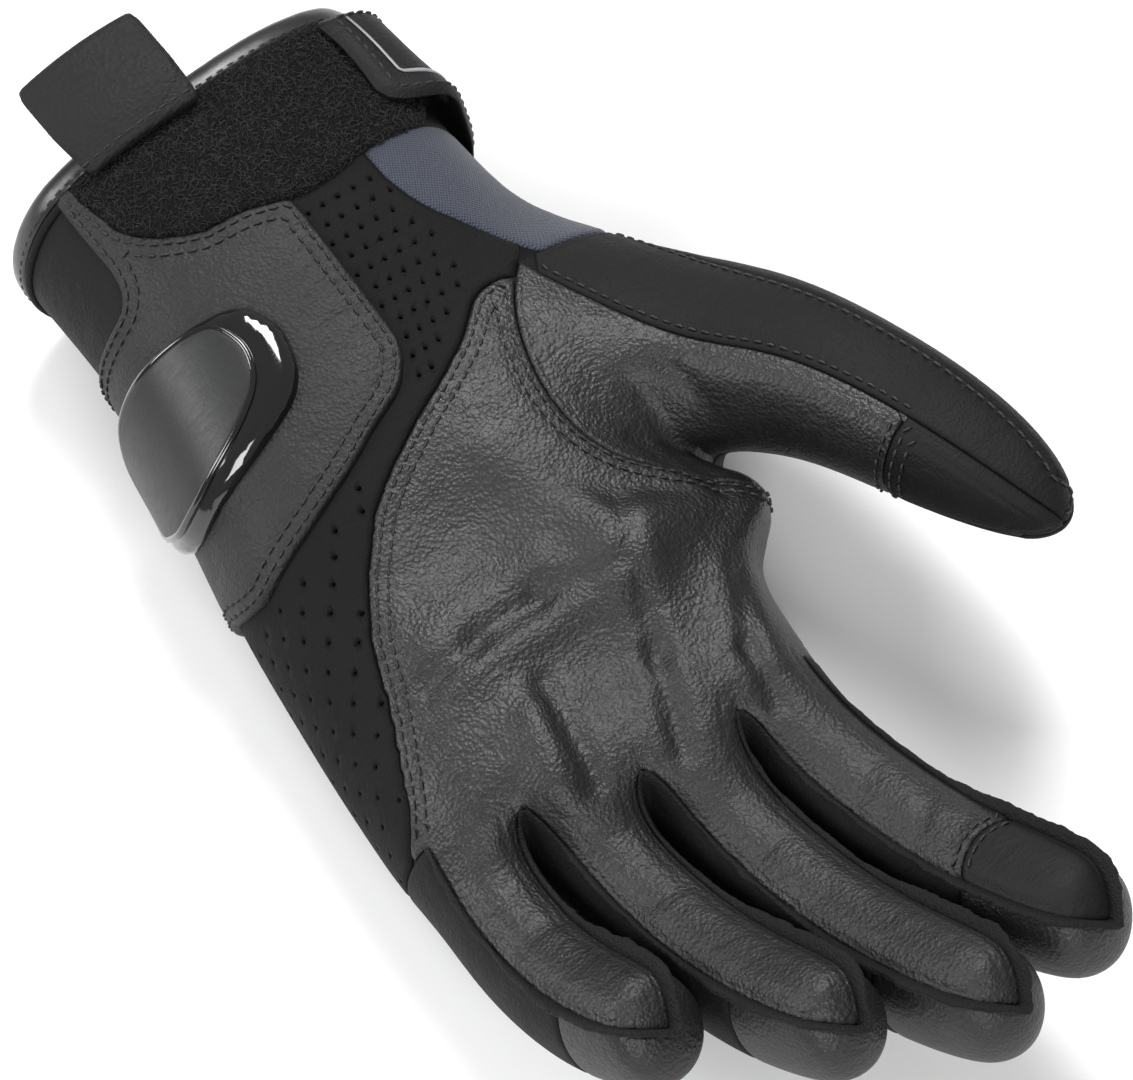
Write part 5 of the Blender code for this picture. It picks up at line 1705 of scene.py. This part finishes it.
MAKERS = {
    "palm_leather": grained("palm_leather", (0.0035, 0.009), (0.34, 0.48), 0.00022),
    "patch_leather": grained("patch_leather", (0.0035, 0.008), (0.42, 0.56), 0.00020, specular=0.4),
    "matte_leather": grained("matte_leather", (0.003, 0.006), (0.55, 0.72), 0.00014, 0.8, specular=0.22),
    "perforated": grained("perforated", (0.0025, 0.005), (0.62, 0.78), 0.00010, 0.7, specular=0.18),
    "pad_leather": grained("pad_leather", (0.004, 0.007), (0.48, 0.60), 0.00006, 0.6, specular=0.25),
    "tab_leather": grained("tab_leather", (0.004, 0.008), (0.50, 0.66), 0.00025, 1.3, False, 0.3),
    "strap_leather": grained("strap_leather", (0.003, 0.006), (0.50, 0.66), 0.00012, 0.8, False, 0.25),
    "raw_edge": grained("raw_edge", (0.002, 0.006), (0.60, 0.80), 0.0004, 0.7, False, 0.3),
    "stretch_fabric": lambda: woven("stretch_fabric", (0.004, 0.006, 0.012), (0.040, 0.048, 0.076)),
    "loop_fabric": lambda: pile("loop_fabric", (0.002, 0.002, 0.0022), (0.008, 0.008, 0.0085)),
    "fibre": lambda: smooth_skin("fibre", (0.004, 0.004, 0.0045), (0.014, 0.014, 0.015), 0.5, 0.0001),
    "lining": lambda: pile("lining", (0.004, 0.004, 0.005), (0.010, 0.010, 0.011)),
    "binding_vinyl": lambda: smooth_skin(
        "binding_vinyl", (0.010, 0.010, 0.011), (0.018, 0.018, 0.020), 0.30, 0.0008, 0.5, 0.0, 0.00004),
    "hook_tape": lambda: pile("hook_tape", (0.003, 0.003, 0.003), (0.008, 0.008, 0.008)),
    "slider_plastic": lambda: smooth_skin(
        "slider_plastic", (0.002, 0.002, 0.0022), (0.004, 0.004, 0.0045), 0.06, 0.0002, 0.5, 0.6),
    "inlay_rubber": lambda: smooth_skin(
        "inlay_rubber", (0.006, 0.0063, 0.0066), (0.010, 0.0105, 0.011), 0.42, 0.0001, 0.4, 0.0, 0.00005),
    "thread": lambda: thread_finish("thread", (0.003, 0.003, 0.003), (0.016, 0.016, 0.016)),
    "silver_line": lambda: smooth_skin("silver_line", (0.16, 0.16, 0.17), (0.28, 0.28, 0.30), 0.35, 0.0002),
}


def floor_material():
    n = Nodes("pale_floor")
    n.set("Base Color", (0.86, 0.86, 0.86, 1.0))
    n.set("Roughness", 0.85)
    n.set("Specular IOR Level", 0.2)
    n.link(n.bump(n.noise(60.0, 2.0), 0.0002, 0.1), n.shader.inputs["Normal"])
    return n.material


def build_floor():
    mesh = bpy.data.meshes.new("floor")
    signs = [(-1, -1), (1, -1), (1, 1), (-1, 1)]
    corners = [(x * FLOOR_REACH, y * FLOOR_REACH, 0) for x, y in signs]
    mesh.from_pydata(corners, [], [(0, 1, 2, 3)])
    mesh.materials.append(floor_material())
    thing = bpy.data.objects.new("floor", mesh)
    bpy.context.scene.collection.objects.link(thing)
    thing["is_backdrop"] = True


def look(thing, start, target):
    thing.location = start
    thing.rotation_euler = (Vector(target) - Vector(start)).to_track_quat("-Z", "Y").to_euler()


def build_camera():
    made = bpy.data.cameras.new("camera")
    made.lens = LENS
    made.sensor_width = 36.0
    made.clip_start = 0.01
    thing = bpy.data.objects.new("camera", made)
    bpy.context.scene.collection.objects.link(thing)
    turn, lift = math.radians(VIEW_TURN), math.radians(VIEW_LIFT)
    back = Vector((math.sin(turn) * math.cos(lift), -math.cos(turn) * math.cos(lift), math.sin(lift)))
    aim = Vector(VIEW_TARGET) + Vector(SHIFT)
    look(thing, aim + back * VIEW_DISTANCE, aim)
    bpy.context.scene.camera = thing


def build_lights():
    world = bpy.context.scene.world or bpy.data.worlds.new("world")
    bpy.context.scene.world = world
    world.use_nodes = True
    bpy.context.scene.view_settings.view_transform = "Standard"
    ground = world.node_tree.nodes["Background"]
    ground.inputs["Color"].default_value = (1.0, 1.0, 1.0, 1.0)
    ground.inputs["Strength"].default_value = WORLD_LIGHT
    for name, spot, size, power in LAMPS:
        lamp = bpy.data.lights.new(name, "AREA")
        lamp.shape = "SQUARE"
        lamp.size = size
        lamp.energy = power
        thing = bpy.data.objects.new(name, lamp)
        bpy.context.scene.collection.objects.link(thing)
        look(thing, Vector(spot), Vector((0.0, 0.0, 0.03)))


def main():
    solid_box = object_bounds()
    build_camera()
    build_lights()
    build_floor()
    shell = smooth_shell(LEVELS)
    surface = Surface(shell)
    parted = build_panels(shell)
    pierce(bpy.data.objects["perforated_leather"], surface)
    build_layers(parted)
    build_rim(shell)
    build_tab(surface)
    build_strap(surface)
    place_on(stitch_mesh("stitches"), slot="matte_leather")
    boxes = [solid_box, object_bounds()]
    [[list(map(float, corner)) for corner in box] for box in boxes]


main()
